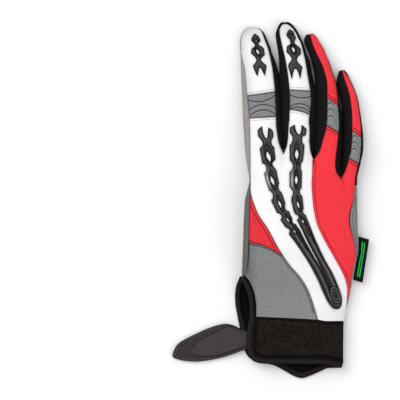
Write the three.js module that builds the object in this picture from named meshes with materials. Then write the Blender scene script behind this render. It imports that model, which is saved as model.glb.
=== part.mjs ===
// A right-hand riding glove, lying palm down with its cuff strap open.
// Millimetres, +Z up, fingers along +Y, thumb side at -X, floor at z = 0.
import * as THREE from 'three';

// Driving dimensions
const LEATHER = 1.2; // back and palm panels
const STRETCH = 1.0; // black sides of the fingers
const RIBBED = 1.5; // grey knuckle panels
const PROUD = 0.5; // how far they stand out
const NEOPRENE = 2.0; // cuff layers
const LOOP = 1.2; // loop patch on the cuff
const TAB = 2.6; // rubber strap tab
const HOOK = 1.4; // hook pad under the tab
const LABEL = 1.0;
const RAIL = 2.2; // height of the rubber rails
const GRIP = 1.8; // height of the fingertip rubber
const BINDING = { width: 4.0, height: 3.0 }; // of the cuff's edges
const GAP = 0.3; // between pieces that touch
const HALF_GAP = 0.16;
const SINK = 1.7; // how far the fingers' black sides lie under the back's edge near the crotches
const TIP_SEAM = 0.95; // share of a fingertip's width inside its seams
const TIP_SHAPE = { plan: 2.5, profile: 2, cap: 0.9995 }; // exponents of a fingertip's outlines
const RIM = 0.7; // rounding of the bound edges
const SEAM_ANGLE = 35; // degrees below a finger's middle where its side meets the palm
const HAND_ROUNDNESS = 2.4; // exponent of the hand's cross-section
const WRIST_START = -78; // from here to WRIST_END the panels stretch to the cuff's edge
const WRIST_END = -88;
const THUMB_WEB = 16.6; // top end of the thumb side panel
const SLIT_TOP = -57.5; // top end of the wrist slit

// Colours and finishes
const finish = (color, roughness) =>
  new THREE.MeshStandardMaterial({ color, roughness, metalness: 0 });
const WHITE = finish('#ececec', 0.5);
const RED = finish('#d8343c', 0.85);
const GREY = finish('#77787a', 0.85);
const DARK_GREY = finish('#5b5c5f', 0.85);
const SUEDE = finish('#b9b7b4', 0.9);
const BLACK = finish('#17161a', 0.85);
const CUFF_BLACK = finish('#201c1d', 0.95);
const EDGE = finish('#1b161c', 0.7);
const RUBBER = finish('#3a3432', 0.4);
const GLOSSY = finish('#2a2625', 0.3);
const DARK_GREEN = finish('#15301c', 0.8);

// Smooth curve through the rows of a table: column 0 is the place, monotone between the rows
function track(rows, column = 1) {
  const points = rows.map((row) => [row[0], row[column]]).sort((a, b) => a[0] - b[0]);
  const last = points.length - 1;
  const steps = points.slice(1).map((p, i) => (p[1] - points[i][1]) / (p[0] - points[i][0]));
  const slopes = points.map((_, i) => {
    if (i === 0) return steps[0];
    if (i === last) return steps[last - 1];
    const [before, after] = [steps[i - 1], steps[i]];
    return before * after <= 0 ? 0 : (2 * before * after) / (before + after);
  });
  return (at) => {
    if (at <= points[0][0]) return points[0][1];
    if (at >= points[last][0]) return points[last][1];
    let i = 0;
    while (points[i + 1][0] < at) i += 1;
    const width = points[i + 1][0] - points[i][0];
    const t = (at - points[i][0]) / width;
    const rise = points[i + 1][1] - points[i][1];
    const start = slopes[i] * width;
    const end = slopes[i + 1] * width;
    const bend = 3 * rise - 2 * start - end;
    return points[i][1] + t * (start + t * (bend + t * (start + end - 2 * rise)));
  };
}

const clamp = (value, low, high) => Math.min(high, Math.max(low, value));
const mix = (a, b, t) => a + (b - a) * t;
const smooth = (low, high, value) => {
  const t = clamp((value - low) / (high - low), 0, 1);
  return t * t * (3 - 2 * t);
};
const radians = (degrees) => (degrees * Math.PI) / 180;

// Fingers as they lie. Columns: y, left edge, right edge, underside height, top height.
// Each one is rounded from y = round to its tip at y = end.
const finger = (round, end, rows) => ({
  round, end, left: track(rows, 1), right: track(rows, 2), under: track(rows, 3), over: track(rows, 4),
});
const INDEX = finger(112, 130, [
  [130, -24.0, -2.5, 0.2, 12.8],
  [120, -23.7, -2.0, 0, 14.5],
  [112, -22.9, 0.6, 0, 16.0],
  [105, -22.7, 3.0, 0.2, 17.2],
  [97, -22.5, 5.2, 0.6, 18.4],
  [90, -22.1, 6.3, 1.2, 19.6],
  [75, -21.5, 7.3, 2.6, 22.0],
  [60, -21.0, 7.7, 4.6, 24.6],
  [45, -20.0, 8.6, 7.0, 27.2],
  [35, -19.2, 9.1, 9.2, 28.8],
  [22, -17.4, 9.2, 13.0, 31.0],
  [15, -16.1, 9.2, 13.4, 31.6],
  [0, -19.5, 7.0, 14.0, 31.0],
  [-35, -21.2, 5.0, 12.0, 29.0],
  [-58, -21.8, 3.0, 5.0, 20.0],
]);
const MIDDLE = finger(116, 134.3, [
  [134, 3.0, 18.0, 0.2, 13.0],
  [127, 2.9, 21.3, 0, 14.6],
  [120, 4.0, 23.5, 0, 16.2],
  [112, 5.3, 26.4, 0.2, 17.8],
  [105, 6.0, 28.9, 0.7, 19.2],
  [97, 6.4, 30.4, 1.4, 20.6],
  [90, 6.9, 32.0, 2.0, 21.8],
  [75, 7.9, 33.8, 3.2, 24.2],
  [60, 8.3, 33.1, 4.8, 26.4],
  [45, 9.2, 32.3, 6.6, 28.4],
  [31, 9.7, 31.6, 8.4, 29.6],
]);
const RING = finger(110, 125.4, [
  [125, 23.4, 36.6, 0.4, 13.0],
  [120, 24.1, 37.0, 0.1, 14.6],
  [112, 27.7, 40.8, 0, 17.0],
  [105, 30.0, 43.5, 0, 18.8],
  [97, 32.0, 46.1, 0.4, 20.4],
  [90, 33.0, 48.5, 0.8, 21.6],
  [75, 34.4, 51.2, 1.8, 24.0],
  [60, 33.7, 53.3, 2.8, 26.0],
  [45, 32.9, 53.0, 3.8, 27.4],
  [31, 32.2, 52.2, 4.8, 28.2],
  [17, 32.0, 52.2, 5.4, 28.6],
]);
const LITTLE = finger(84, 98.4, [
  [98, 49.2, 57.6, 0.3, 11.6],
  [90, 49.3, 60.4, 0.1, 14.0],
  [82, 50.5, 63.5, 0, 16.0],
  [75, 52.1, 65.6, 0, 17.2],
  [67, 53.3, 66.8, 0, 18.2],
  [60, 53.9, 67.9, 0, 19.0],
  [45, 53.7, 69.5, 0.2, 20.6],
  [37, 53.2, 69.2, 0.3, 21.2],
  [26, 52.8, 67.1, 0.5, 21.8],
  [15, 52.8, 64.7, 0.7, 22.2],
  [0, 51.0, 64.9, 0.8, 22.2],
  [-38, 50.0, 65.4, 0.6, 20.6],
  [-45, 49.0, 64.0, 0.5, 20.0],
  [-60, 46.5, 61.3, 0.4, 18.2],
  [-75, 44.0, 58.5, 0.2, 16.2],
  [-90, 40.0, 54.7, 0, 14.6],
  [-124, 39.5, 53.7, 0, 13.4],
]);

// The thumb lies on the floor under the palm
const THUMB = finger(6, 26, [
  [26, -9.0, 10.0, 0, 12.6],
  [10, -13.5, 12.0, 0, 13.0],
  [-10, -16.6, 13.6, 0, 13.4],
  [-40, -18.6, 14.8, 0, 12.8],
  [-75, -18.8, 15.0, 0, 12.8],
]);

// The hand: side heights, rise of the back and drop of the palm at both sides.
// Columns: y, left edge, right edge, left middle, right middle, rise, left drop, right drop.
const HAND_ROWS = [
  [45, -20.0, 69.5, 17.2, 11.2, 13.0, 9.6, 13.0],
  [35, -19.2, 69.0, 19.0, 11.2, 13.6, 8.8, 14.0],
  [22, -17.4, 66.4, 21.6, 11.4, 14.6, 5.2, 15.0],
  [15, -16.1, 64.7, 22.4, 11.4, 15.2, 4.2, 15.6],
  [0, -19.5, 64.9, 22.5, 11.5, 15.8, 4.0, 16.5],
  [-20, -20.5, 65.5, 22.2, 11.2, 15.4, 3.9, 16.5],
  [-35, -21.2, 65.5, 20.8, 10.6, 14.6, 3.8, 16.0],
  [-45, -21.4, 64.0, 17.2, 10.2, 14.0, 4.0, 15.0],
  [-58, -21.8, 61.7, 12.4, 9.4, 13.2, 5.6, 13.6],
  [-71, -25.4, 59.3, 7.2, 8.4, 12.4, 11.0, 12.0],
  [-88, -24.0, 55.4, 4.6, 7.5, 11.6, 9.6, 10.0],
  [-124, -21.6, 53.7, 4.2, 6.8, 10.4, 9.6, 9.0],
];
const [HAND_LEFT, HAND_RIGHT, SIDE_LEFT, SIDE_RIGHT, RISE, DROP_LEFT, DROP_RIGHT] =
  [1, 2, 3, 4, 5, 6, 7].map((column) => track(HAND_ROWS, column));

// Where the sides of neighbouring fingers meet: x and y of each crotch
const CROTCH = { indexMiddle: [9.4, 35.2], middleRing: [31.9, 31.1], ringLittle: [52.5, 16.9] };
const crotchLine = track([
  [-20, 38],
  CROTCH.indexMiddle,
  CROTCH.middleRing,
  CROTCH.ringLittle,
  [66, 13],
]);
const BLEND = 16; // length over which a finger grows out of the hand

// Seams of the back, seen from above. Columns: y, x.
const WHITE_LEFT = track([
  [124, -22.7], [112, -22.4], [97, -19.5], [75, -17.6], [60, -16.4], [37, -16.0], [8, -15.9],
  [-7.5, -11.6], [-22.5, -2.2], [-37.5, 6.0], [-49.5, 14.2], [-58, 21.7], [-68, 27.7], [-80, 32.2],
  [-90, 35.6],
]);
const INDEX_RIGHT = track([
  [130, -7.5], [120, -3.9], [112, -1.1], [97, 1.8], [82, 3.4], [64, 4.1], [52, 4.6], [44, 6.1],
  CROTCH.indexMiddle.toReversed(),
]);
const MIDDLE_LEFT = track([
  [134, 7.5], [127, 6.1], [120, 7.1], [105, 10.5], [90, 12.8], [75, 13.8], [63, 13.3], [50, 12.6],
  [41, 11.7], CROTCH.indexMiddle.toReversed(),
]);
const MIDDLE_RIGHT = track([
  [134, 14.5], [127, 19.2], [120, 22.5], [105, 26.2], [90, 28.6], [81, 30.0], [75, 30.4], [66, 29.5],
  [58, 28.9], [45, 29.2], [37, 30.0], CROTCH.middleRing.toReversed(),
]);
const RING_LEFT = track([
  [125, 29.4], [120, 30.4], [112, 33.0], [105, 36.6], [97, 39.8], [86, 42.0], [75, 42.0], [60, 41.6],
  [52, 40.5], [45, 38.2], [37, 35.8], CROTCH.middleRing.toReversed(),
]);
const RING_RIGHT = track([
  [125, 32.4], [120, 35.7], [112, 40.1], [105, 43.2], [97, 45.6], [86, 48.8], [75, 50.0], [66, 50.7],
  [56, 51.1], [48, 50.7], [37, 49.5], [27, 48.6], [21, 49.4], CROTCH.ringLittle.toReversed(),
]);
const LITTLE_LEFT = track([
  [98, 53.2], [90, 55.5], [82, 58.2], [75, 59.6], [64, 60.6], [52, 60.7], [37, 59.6], [30, 57.6], [22, 54.9],
  CROTCH.ringLittle.toReversed(),
]);
const RED_RIGHT = track([
  [98, 54.6], [90, 60.0], [82, 63.2], [75, 65.3], [60, 67.3], [52, 68.1], [41, 67.7], [28, 66.2], [15, 63.7],
  [8, 63.4], [0, 62.4], [-8, 60.0], [-15, 59.2], [-22, 60.3], [-30, 62.4], [-42, 64.2], [-45, 63.6],
  [-60, 60.9], [-75, 58.1], [-90, 54.3],
]);
const WHITE_RIGHT = track([
  CROTCH.middleRing.toReversed(), [22, 31.1], [13, 30.5], [0, 31.3], [-15, 33.7], [-30, 40.1], [-45, 48.7],
  [-60, 56.2], [-68, 57.9], [-75, 57.5], [-90, 53.5],
]);
const WHITE_SPLIT = track([
  CROTCH.indexMiddle.toReversed(), [0, 10.0], [-30, 21.0], [-60, 39.5], [-90, 44.6],
]);
const RED_SPLIT = track([CROTCH.ringLittle.toReversed(), [-15, 48.0], [-45, 57.0], [-68, 59.0]]);
const CUFF_EDGE = track([[-12, -88], [35, -90.4], [42, -91.4], [55, -91.4]]); // columns: x, y
const SIDE_SEAM = track([
  [16, -15.7], [0, -16.3], [-30, -17.1], [-45, -17.6], [-54, -18.8], [-57.6, -20.2],
]);
const SLIT_EDGE = track([
  [-57.5, -19.6], [-60, -17.2], [-64.5, -14.8], [-73, -12.2], [-81, -11.4], [-90, -11.4],
]);

// Section of a finger across Y: half width and half height around its middle
function section(part, y) {
  const left = part.left(y);
  const right = part.right(y);
  const under = part.under(y);
  const over = part.over(y);
  const t = clamp((y - part.round) / (part.end - part.round), 0, TIP_SHAPE.cap);
  return {
    x: (left + right) / 2,
    z: (under + over) / 2,
    wide: ((right - left) / 2) * (1 - t ** TIP_SHAPE.plan) ** (1 / TIP_SHAPE.plan),
    high: ((over - under) / 2) * (1 - t ** TIP_SHAPE.profile) ** (1 / TIP_SHAPE.profile),
  };
}

// Share of the fingers' own shape at a point, from 0 on the hand to 1 past the crotches
const fingerShare = (x, y) => smooth(crotchLine(x) - BLEND, crotchLine(x) + BLEND, y);

// Height of a finger's back (side = 1) or underside (side = -1)
function fingerHeight(x, y, side) {
  const owner = [INDEX, MIDDLE, RING, LITTLE].find((part) => x <= part.right(y) + HALF_GAP) ?? LITTLE;
  const s = section(owner, y);
  const across = clamp((x - s.x) / s.wide, -1, 1);
  return s.z + side * s.high * Math.sqrt(1 - across * across);
}

// Height of the hand's back or underside
function handHeight(x, y, side) {
  const left = HAND_LEFT(y);
  const right = HAND_RIGHT(y);
  const t = clamp((x - left) / (right - left), 0, 1);
  const arch = (1 - Math.abs(2 * t - 1) ** HAND_ROUNDNESS) ** (1 / HAND_ROUNDNESS);
  const middle = mix(SIDE_LEFT(y), SIDE_RIGHT(y), t);
  if (side > 0) return middle + RISE(y) * arch;
  const drop = mix(DROP_LEFT(y), DROP_RIGHT(y), smooth(0.38, 0.8, t));
  return Math.max(0, middle - drop * arch);
}

// Height of the whole glove's outside
function surface(x, y, side) {
  const share = fingerShare(x, y);
  if (share === 0) return handHeight(x, y, side);
  if (share === 1) return fingerHeight(x, y, side);
  return mix(handHeight(x, y, side), fingerHeight(x, y, side), share);
}

// Outward direction there
function outward(x, y, side) {
  const step = GAP / 6;
  const slopeX = (surface(x + step, y, side) - surface(x - step, y, side)) / (2 * step);
  const slopeY = (surface(x, y + step, side) - surface(x, y - step, side)) / (2 * step);
  return new THREE.Vector3(-slopeX, -slopeY, 1).multiplyScalar(side).normalize();
}

// A point of a skin on that surface: its outer side lies lift above it
function skin(x, y, side, thickness, lift = 0) {
  const point = new THREE.Vector3(x, y, surface(x, y, side));
  const normal = outward(x, y, side);
  const outer = point.clone().addScaledVector(normal, lift);
  return { outer, inner: outer.clone().addScaledVector(normal, -thickness) };
}

// A closed sheet: outer and inner points on grids of cells, joined round every free edge
class Sheet {
  constructor() {
    this.index = new Map();
    this.outer = [];
    this.inner = [];
    this.faces = [];
  }

  corner({ outer, inner }) {
    const key = outer.toArray().map((value) => Math.round(value * 500)).join(' ');
    if (!this.index.has(key)) {
      this.index.set(key, this.outer.length);
      this.outer.push(outer);
      this.inner.push(inner);
    }
    return this.index.get(key);
  }

  // place(row, column) gives a point's outer and inner places, keep(row, column) says which
  // cells exist
  grid(rows, columns, place, keep = () => true) {
    const at = rows.map((row) => columns.map((column) => this.corner(place(row, column))));
    for (let i = 0; i + 1 < rows.length; i += 1) {
      for (let j = 0; j + 1 < columns.length; j += 1) {
        if (!keep((rows[i] + rows[i + 1]) / 2, (columns[j] + columns[j + 1]) / 2)) continue;
        const [a, b, c, d] = [at[i][j], at[i][j + 1], at[i + 1][j + 1], at[i + 1][j]];
        this.triangle(a, b, c);
        this.triangle(a, c, d);
      }
    }
    return this;
  }

  triangle(a, b, c) {
    if (a !== b && b !== c && c !== a) this.faces.push([a, b, c]);
  }

  geometry() {
    const count = this.outer.length;
    const twins = new Set(this.faces.flatMap(([a, b, c]) => [`${a} ${b}`, `${b} ${c}`, `${c} ${a}`]));
    const closed = [];
    for (const [a, b, c] of this.faces) {
      closed.push([a, b, c], [a + count, c + count, b + count]);
      for (const [from, to] of [[a, b], [b, c], [c, a]]) {
        if (twins.has(`${to} ${from}`)) continue;
        closed.push([to, from, from + count], [to, from + count, to + count]);
      }
    }
    const points = [...this.outer, ...this.inner];
    const volume = closed.reduce(
      (sum, [a, b, c]) => sum + points[a].dot(points[b].clone().cross(points[c])), 0);
    const faces = volume < 0 ? closed.map(([a, b, c]) => [a, c, b]) : closed;
    const used = [...new Set(faces.flat())];
    const renumber = new Map(used.map((old, i) => [old, i]));
    const geometry = new THREE.BufferGeometry();
    geometry.setFromPoints(used.map((i) => points[i]));
    geometry.setIndex(faces.flat().map((i) => renumber.get(i)));
    geometry.computeVertexNormals();
    return geometry;
  }
}

const steps = (from, to, count) => Array.from({ length: count + 1 }, (_, i) => mix(from, to, i / count));

// Rows of y that crowd together towards a rounded tip
const tipRows = (part, from, count, short = 0.15) =>
  steps(0, Math.PI / 2, count).map((angle) => mix(from, part.end - short, Math.sin(angle)));

// Rows below WRIST_START stretch to the cuff's slanted top edge
const atWrist = (x, row) => {
  const share = clamp((WRIST_START - row) / (WRIST_START - WRIST_END), 0, 1);
  return row + share * (CUFF_EDGE(x) + 2 * GAP - WRIST_END);
};

// A panel of the back between two seams: left and right give x at y, slant moves a row's points along Y
function backPanel(sheet, { left, right, rows, columns, thickness, slant = () => 0, lift = 0 }) {
  return sheet.grid(rows, steps(0, 1, columns), (row, t) => {
    const y = row + slant(row, t);
    const x = mix(left(y) + HALF_GAP, right(y) - HALF_GAP, t);
    return skin(x, atWrist(x, y), 1, thickness, lift);
  });
}

// Two finger lobes that join below their crotch and run on as one panel
function lobedPanel({ lobes, split, crotch, below, thickness }) {
  const sheet = new Sheet();
  const apex = crotch[1] - GAP;
  lobes.forEach(({ left, right, lower, inner }, side) => {
    const top = Math.max(...lower);
    const rows = [...steps(top, crotch[1] + 1.5, 4), apex, ...below];
    const slant = (row, t) => (mix(...lower, t) - top - HALF_GAP) * smooth(crotch[1], top, row);
    const seam = (y) => (y > apex + 0.01 ? inner(y) + (side ? 1 : -1) * HALF_GAP : split(y));
    const edges = side ? [seam, (y) => right(y) - HALF_GAP] : [(y) => left(y) + HALF_GAP, seam];
    sheet.grid(rows, steps(0, 1, 4), (row, t) => {
      const y = row + slant(row, t);
      const x = mix(edges[0](y), edges[1](y), t);
      return skin(x, atWrist(x, y), 1, thickness);
    });
  });
  return sheet;
}

// Side of a finger or of the hand: from its seam on the back (down = 0) round to the palm (down = 1)
function sidePoint(part, side, seam, y, down, sink = 0) {
  const s = section(part, y);
  const top = Math.acos(clamp((side * (seam(y) - s.x)) / s.wide, -1, 1));
  const bottom = -radians(SEAM_ANGLE);
  const angle = mix(top, bottom, down);
  const topX = s.x + side * s.wide * Math.cos(top);
  const bottomX = s.x + side * s.wide * Math.cos(bottom);
  const topLift = surface(topX, y, 1) - sink - (s.z + s.high * Math.sin(top));
  const bottomLift = surface(bottomX, y, -1) + sink - (s.z + s.high * Math.sin(bottom));
  const z = s.z + s.high * Math.sin(angle) + mix(topLift, bottomLift, down);
  return new THREE.Vector3(s.x + side * s.wide * Math.cos(angle), y, z);
}

// The same point with its thickness, laid inwards
function sideSkin(part, side, seam, y, down, thickness, sink = 0) {
  const step = 0.02;
  const at = (dy, dv) => sidePoint(part, side, seam, y + dy, down + dv, sink);
  const outer = at(0, 0);
  const along = at(step, 0).sub(at(-step, 0));
  const round = at(0, step).sub(at(0, -step));
  const normal = round.cross(along).multiplyScalar(side).normalize();
  return { outer, inner: outer.clone().addScaledVector(normal, -thickness) };
}

const glove = new THREE.Group();
function add(name, sheet, material) {
  const mesh = new THREE.Mesh(sheet.geometry(), material);
  mesh.name = name;
  glove.add(mesh);
}

// Fingers with their back seams, and the slanted edges of their knuckle panels (left, right end)
const FINGERS = [
  { name: 'index', part: INDEX, left: WHITE_LEFT, right: INDEX_RIGHT,
    upper: [78.2, 81.2], lower: [61.2, 62.6], colour: WHITE },
  { name: 'middle', part: MIDDLE, left: MIDDLE_LEFT, right: MIDDLE_RIGHT,
    upper: [82.6, 81.8], lower: [67.8, 63.9], colour: WHITE },
  { name: 'ring', part: RING, left: RING_LEFT, right: RING_RIGHT,
    upper: [76.6, 71.4], lower: [56.2, 50.4], colour: RED },
  { name: 'little', part: LITTLE, left: LITTLE_LEFT, right: RED_RIGHT,
    upper: [51.9, 47.4], lower: [31.4, 27.2], colour: RED },
];
// Round a tip the seams close in with the finger's outline
for (const finger of FINGERS) {
  for (const edge of ['left', 'right']) {
    const seam = finger[edge];
    finger[edge] = (y) => {
      const s = section(finger.part, y);
      const reach = TIP_SEAM * s.wide;
      return y < finger.part.round ? seam(y) : clamp(seam(y), s.x - reach, s.x + reach);
    };
  }
}
const [INDEX_BACK, MIDDLE_BACK, RING_BACK, LITTLE_BACK] = FINGERS;

for (const { name, part, left, right, upper, lower, colour } of FINGERS) {
  const base = Math.min(...upper);
  const tip = { left, right, rows: tipRows(part, base, 8), columns: 5, thickness: LEATHER };
  tip.slant = (row, t) => (mix(...upper, t) - base + HALF_GAP) * (1 - smooth(0, 25, row - base));
  add(`${name}_tip_panel`, backPanel(new Sheet(), tip), colour);

  const knuckle = { left, right, rows: steps(0, 1, 4), columns: 5, thickness: RIBBED, lift: PROUD };
  knuckle.slant = (row, t) => mix(mix(...lower, t) + HALF_GAP, mix(...upper, t) - HALF_GAP, row) - row;
  add(`${name}_knuckle_panel`, backPanel(new Sheet(), knuckle), GREY);
}

const either = (limit, above, below) => (y) => (y > limit ? above(y) : below(y));
add('white_back_panel', lobedPanel({
  lobes: [
    { ...INDEX_BACK, inner: INDEX_RIGHT },
    { ...MIDDLE_BACK, inner: MIDDLE_LEFT, right: either(CROTCH.middleRing[1], MIDDLE_RIGHT, WHITE_RIGHT) },
  ],
  split: WHITE_SPLIT,
  crotch: CROTCH.indexMiddle,
  below: [31, 22, 13, 4, -5, -14, -24, -35, -46, -58, -68, WRIST_START, WRIST_END],
  thickness: LEATHER,
}), WHITE);
add('red_back_panel', lobedPanel({
  lobes: [
    { ...RING_BACK, inner: RING_RIGHT, left: either(CROTCH.middleRing[1], RING_LEFT, WHITE_RIGHT) },
    { ...LITTLE_BACK, inner: LITTLE_LEFT },
  ],
  split: RED_SPLIT,
  crotch: CROTCH.ringLittle,
  below: [8, 0, -8, -16, -24, -35, -46, -58, -68, -71],
  thickness: STRETCH + HALF_GAP,
}), RED);

// Red triangle beside the thumb, and the grey panel between it and the wrist
const GREY_TOP = track([[0, -30], [0.15, -32.2], [0.43, -33.4], [0.73, -36.4], [1, -42]]);
add('red_side_panel', backPanel(new Sheet(), {
  left: SIDE_SEAM, right: WHITE_LEFT, rows: steps(0, 1, 7), columns: 4, thickness: LEATHER,
  slant: (row, t) => mix(2.2, GREY_TOP(t) + HALF_GAP, row) - row,
}), RED);
add('grey_wrist_panel', backPanel(new Sheet(), {
  left: either(SLIT_TOP, SIDE_SEAM, SLIT_EDGE), right: WHITE_LEFT, rows: steps(0, 1, 9), columns: 6,
  thickness: LEATHER,
  slant: (row, t) => mix(GREY_TOP(t) - HALF_GAP, WRIST_END, row) - row,
}), GREY);

// Black sides between the fingers: down one finger, round the crotch and up the next
function fourchette(name, [a, b], [crotchX, crotchY]) {
  const sheet = new Sheet();
  const down = [0, 0.33, 0.67, 1];
  [[a, 1, a.right], [b, -1, b.left]].forEach(([finger, side, seam]) => {
    const edge = (y) => (y < crotchY + 0.01 ? crotchX : seam(y) + side * HALF_GAP);
    const rows = [crotchY, ...tipRows(finger.part, crotchY + 0.3, 11, 3)];
    sheet.grid(side > 0 ? rows : rows.reverse(), down, (y, v) => {
      const sink = SINK * (1 - smooth(crotchY + 4, crotchY + 22, y));
      if (y > crotchY) return sideSkin(finger.part, side, edge, y, v, STRETCH, sink);
      const [top, bottom] = [1, -1].map((face) => surface(crotchX, crotchY, face) - face * SINK);
      const outer = new THREE.Vector3(crotchX, crotchY, mix(top, bottom, v));
      return { outer, inner: outer.clone().setY(crotchY - STRETCH) };
    });
  });
  add(name, sheet, BLACK);
}
fourchette('fourchette_index_middle', [INDEX_BACK, MIDDLE_BACK], CROTCH.indexMiddle);
fourchette('fourchette_middle_ring', [MIDDLE_BACK, RING_BACK], CROTCH.middleRing);
fourchette('fourchette_ring_little', [RING_BACK, LITTLE_BACK], CROTCH.ringLittle);

// Outer side of the little finger, the grey strip below it and the side panel over the thumb
const sideRows = (part, side, seam, rows, down, thickness) =>
  new Sheet().grid(rows, down, (y, v) => sideSkin(part, side, seam, y, v, thickness));
const outside = (seam, side) => (y) => seam(y) + side * 1.5 * HALF_GAP;
const ROUND = [0, 0.33, 0.67, 1]; // from the back seam to the palm seam
const SIDE_ENDS = { sleeve: 5.3, panelTop: 5, panelBottom: -42 }; // y along the glove's outer side
add('fourchette_little_side', sideRows(
  LITTLE, 1, outside(LITTLE_BACK.right, 1), tipRows(LITTLE, SIDE_ENDS.sleeve, 11, 3), ROUND, STRETCH,
), BLACK);
add('little_side_panel', sideRows(
  LITTLE, 1, outside(RED_RIGHT, 1), steps(SIDE_ENDS.panelTop, SIDE_ENDS.panelBottom, 7),
  [0, 0.24, 0.47], LEATHER,
), GREY);
add('thumb_side_panel', sideRows(
  INDEX, -1, outside(SIDE_SEAM, -1), steps(THUMB_WEB - 8 * GAP, SLIT_TOP, 9), ROUND, LEATHER,
), DARK_GREY);

// Palm: columns 0-1 wrap the index finger's outer side, 1-2, 3-4, 5-6 and 7-8 are the fingers'
// undersides, the odd ones between them lie between two fingers, and 8-9 wrap the outer side
const PALM_LEFT = track([
  [-57.5, -19.3], [-62, -20.8], [-66, -22.0], [-72, -22.6], [-78, -22.3], [-88, -20.6],
]);
const UNDER_INSET = 2; // degrees, for the gap to the black sides

function underX(part, t, y) {
  const s = section(part, y);
  const first = 180 + SEAM_ANGLE + (part === INDEX ? 0 : UNDER_INSET);
  const last = 360 - SEAM_ANGLE - UNDER_INSET;
  return s.x + s.wide * Math.cos(radians(mix(first, last, t)));
}

function palmX(column, y) {
  const lane = Math.min(Math.floor(column), 7);
  const t = column - lane;
  if (y > THUMB_WEB - 0.01) {
    const part = FINGERS[Math.floor((lane - 1) / 2)].part;
    if (lane % 2 === 1) return underX(part, t, y);
    return mix(underX(part, 1, y), underX(FINGERS[lane / 2].part, 0, y), t);
  }
  const [left, right] = [palmX(1, THUMB_WEB), palmX(8, THUMB_WEB)];
  const share = (palmX(column, THUMB_WEB) - left) / (right - left);
  const edge = y < SLIT_TOP ? PALM_LEFT(y) : underX(INDEX, 0, y) + 3 * GAP;
  return mix(edge, underX(LITTLE, 1, y), share);
}

function palmSkin(row, column) {
  if (column < 1) return sideSkin(INDEX, -1, outside(INDEX_BACK.left, -1), row, column, LEATHER);
  if (column > 8) {
    const y = row > WRIST_START ? row : atWrist(HAND_RIGHT(row), row);
    return sideSkin(LITTLE, 1, outside(RED_RIGHT, 1), y, 9 - column, LEATHER);
  }
  const x = palmX(column, row);
  return skin(x, atWrist(x, row), -1, LEATHER);
}

const THUMB_HOLE = { top: -43, bottom: -70, left: 1, right: 3.5 };
const palm = new Sheet();
const lanes = (from, to) => steps(from, to, Math.round((to - from) * 3));
const splits = [CROTCH.ringLittle, CROTCH.middleRing, CROTCH.indexMiddle].map((crotch) => crotch[1] - GAP);
const palmRows = [
  WRIST_END, WRIST_START, THUMB_HOLE.bottom, -57, THUMB_HOLE.top, -30, -18, -6, 4.7, 10, THUMB_WEB,
];
const palmColumns = [...lanes(1, 3), 3.25, 3.5, 3.75, ...lanes(4, 8), 8.25, 8.5, 8.75, 9];
const inThumbHole = (y, column) => y > THUMB_HOLE.bottom && y < THUMB_HOLE.top
  && column > THUMB_HOLE.left && column < THUMB_HOLE.right;
palm.grid(palmRows, palmColumns, palmSkin, (y, column) => {
  if (column > 8.5) return y < SIDE_ENDS.panelBottom;
  if (column > 8) return y < SIDE_ENDS.panelTop;
  return !inThumbHole(y, column);
});
palm.grid([THUMB_WEB, 24, splits[1]], lanes(0, 6), palmSkin);
palm.grid([splits[1], splits[2]], lanes(0, 4), palmSkin);
for (const [part, from, first, count] of [
  [INDEX, 0, splits[2], 9], [MIDDLE, 3, splits[2], 9], [RING, 5, splits[1], 9], [LITTLE, 7, THUMB_WEB, 9],
]) {
  palm.grid(tipRows(part, first, count), lanes(from, from === 0 ? 2 : from + 1), palmSkin);
}
add('palm_panel', palm, SUEDE);

// Thumb sleeve: its mouth follows the sloping palm
function mouth(x, z) {
  let [low, high] = [-80, -38];
  for (let i = 0; i < 30; i += 1) {
    const middle = (low + high) / 2;
    if (surface(x, middle, -1) - 2 * GAP > z) high = middle;
    else low = middle;
  }
  return low;
}
const THUMB_BASE = -30;
function thumbPoint(row, turn) {
  const angle = turn * 2 * Math.PI;
  const end = THUMB.end - 0.15;
  const y = row < 1 ? THUMB_BASE : mix(THUMB_BASE, end, Math.sin((row - 1) * Math.PI / 2));
  const s = section(THUMB, y);
  const point = new THREE.Vector3(s.x + s.wide * Math.cos(angle), y, s.z + s.high * Math.sin(angle));
  if (row < 1) point.y = mix(mouth(point.x, point.z), THUMB_BASE, row);
  return point;
}
function thumbSkin(row, turn) {
  const outer = thumbPoint(row, turn);
  const step = 0.001;
  const along = thumbPoint(row + step, turn).sub(thumbPoint(Math.max(0, row - step), turn));
  const round = thumbPoint(row, turn + step).sub(thumbPoint(row, turn - step));
  const normal = along.cross(round).normalize();
  return { outer, inner: outer.clone().addScaledVector(normal, -LEATHER) };
}
const thumbRows = [0, 0.5, 1, 1.2, 1.4, 1.6, 1.8, 1.9, 1.98];
add('thumb_sleeve', new Sheet().grid(thumbRows, steps(0, 1, 14), thumbSkin), SUEDE);

// Cuff: outlines of its two layers, their left edges (y, x) and bottom edges (x, y)
const BACK_BOTTOM = track([[-15, -121], [-7, -122.8], [0, -123.2], [36, -123.2], [48, -125.2], [54, -126]]);
const PALM_BOTTOM = track([
  [-20, -115], [-15, -119.5], [-6, -122.5], [0.7, -123.3], [10.5, -128.6], [18, -132.8], [23, -134.2],
  [29.2, -132.4], [41, -127.5], [47, -126], [54, -126],
]);
const LAYER_LEFT = {
  back: track([[-87, -11.4], [-97, -13.4], [-112, -13.4], [-116, -11.6], [-119, -8.4]]),
  palm: track([[-87, -20.6], [-97, -18.6], [-109, -16.4], [-120, -13.0]]),
};
const HEM = BINDING.width + GAP; // width of the bound edge

const CUFF_MIDDLE = -105; // y of the cuff's middle

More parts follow.
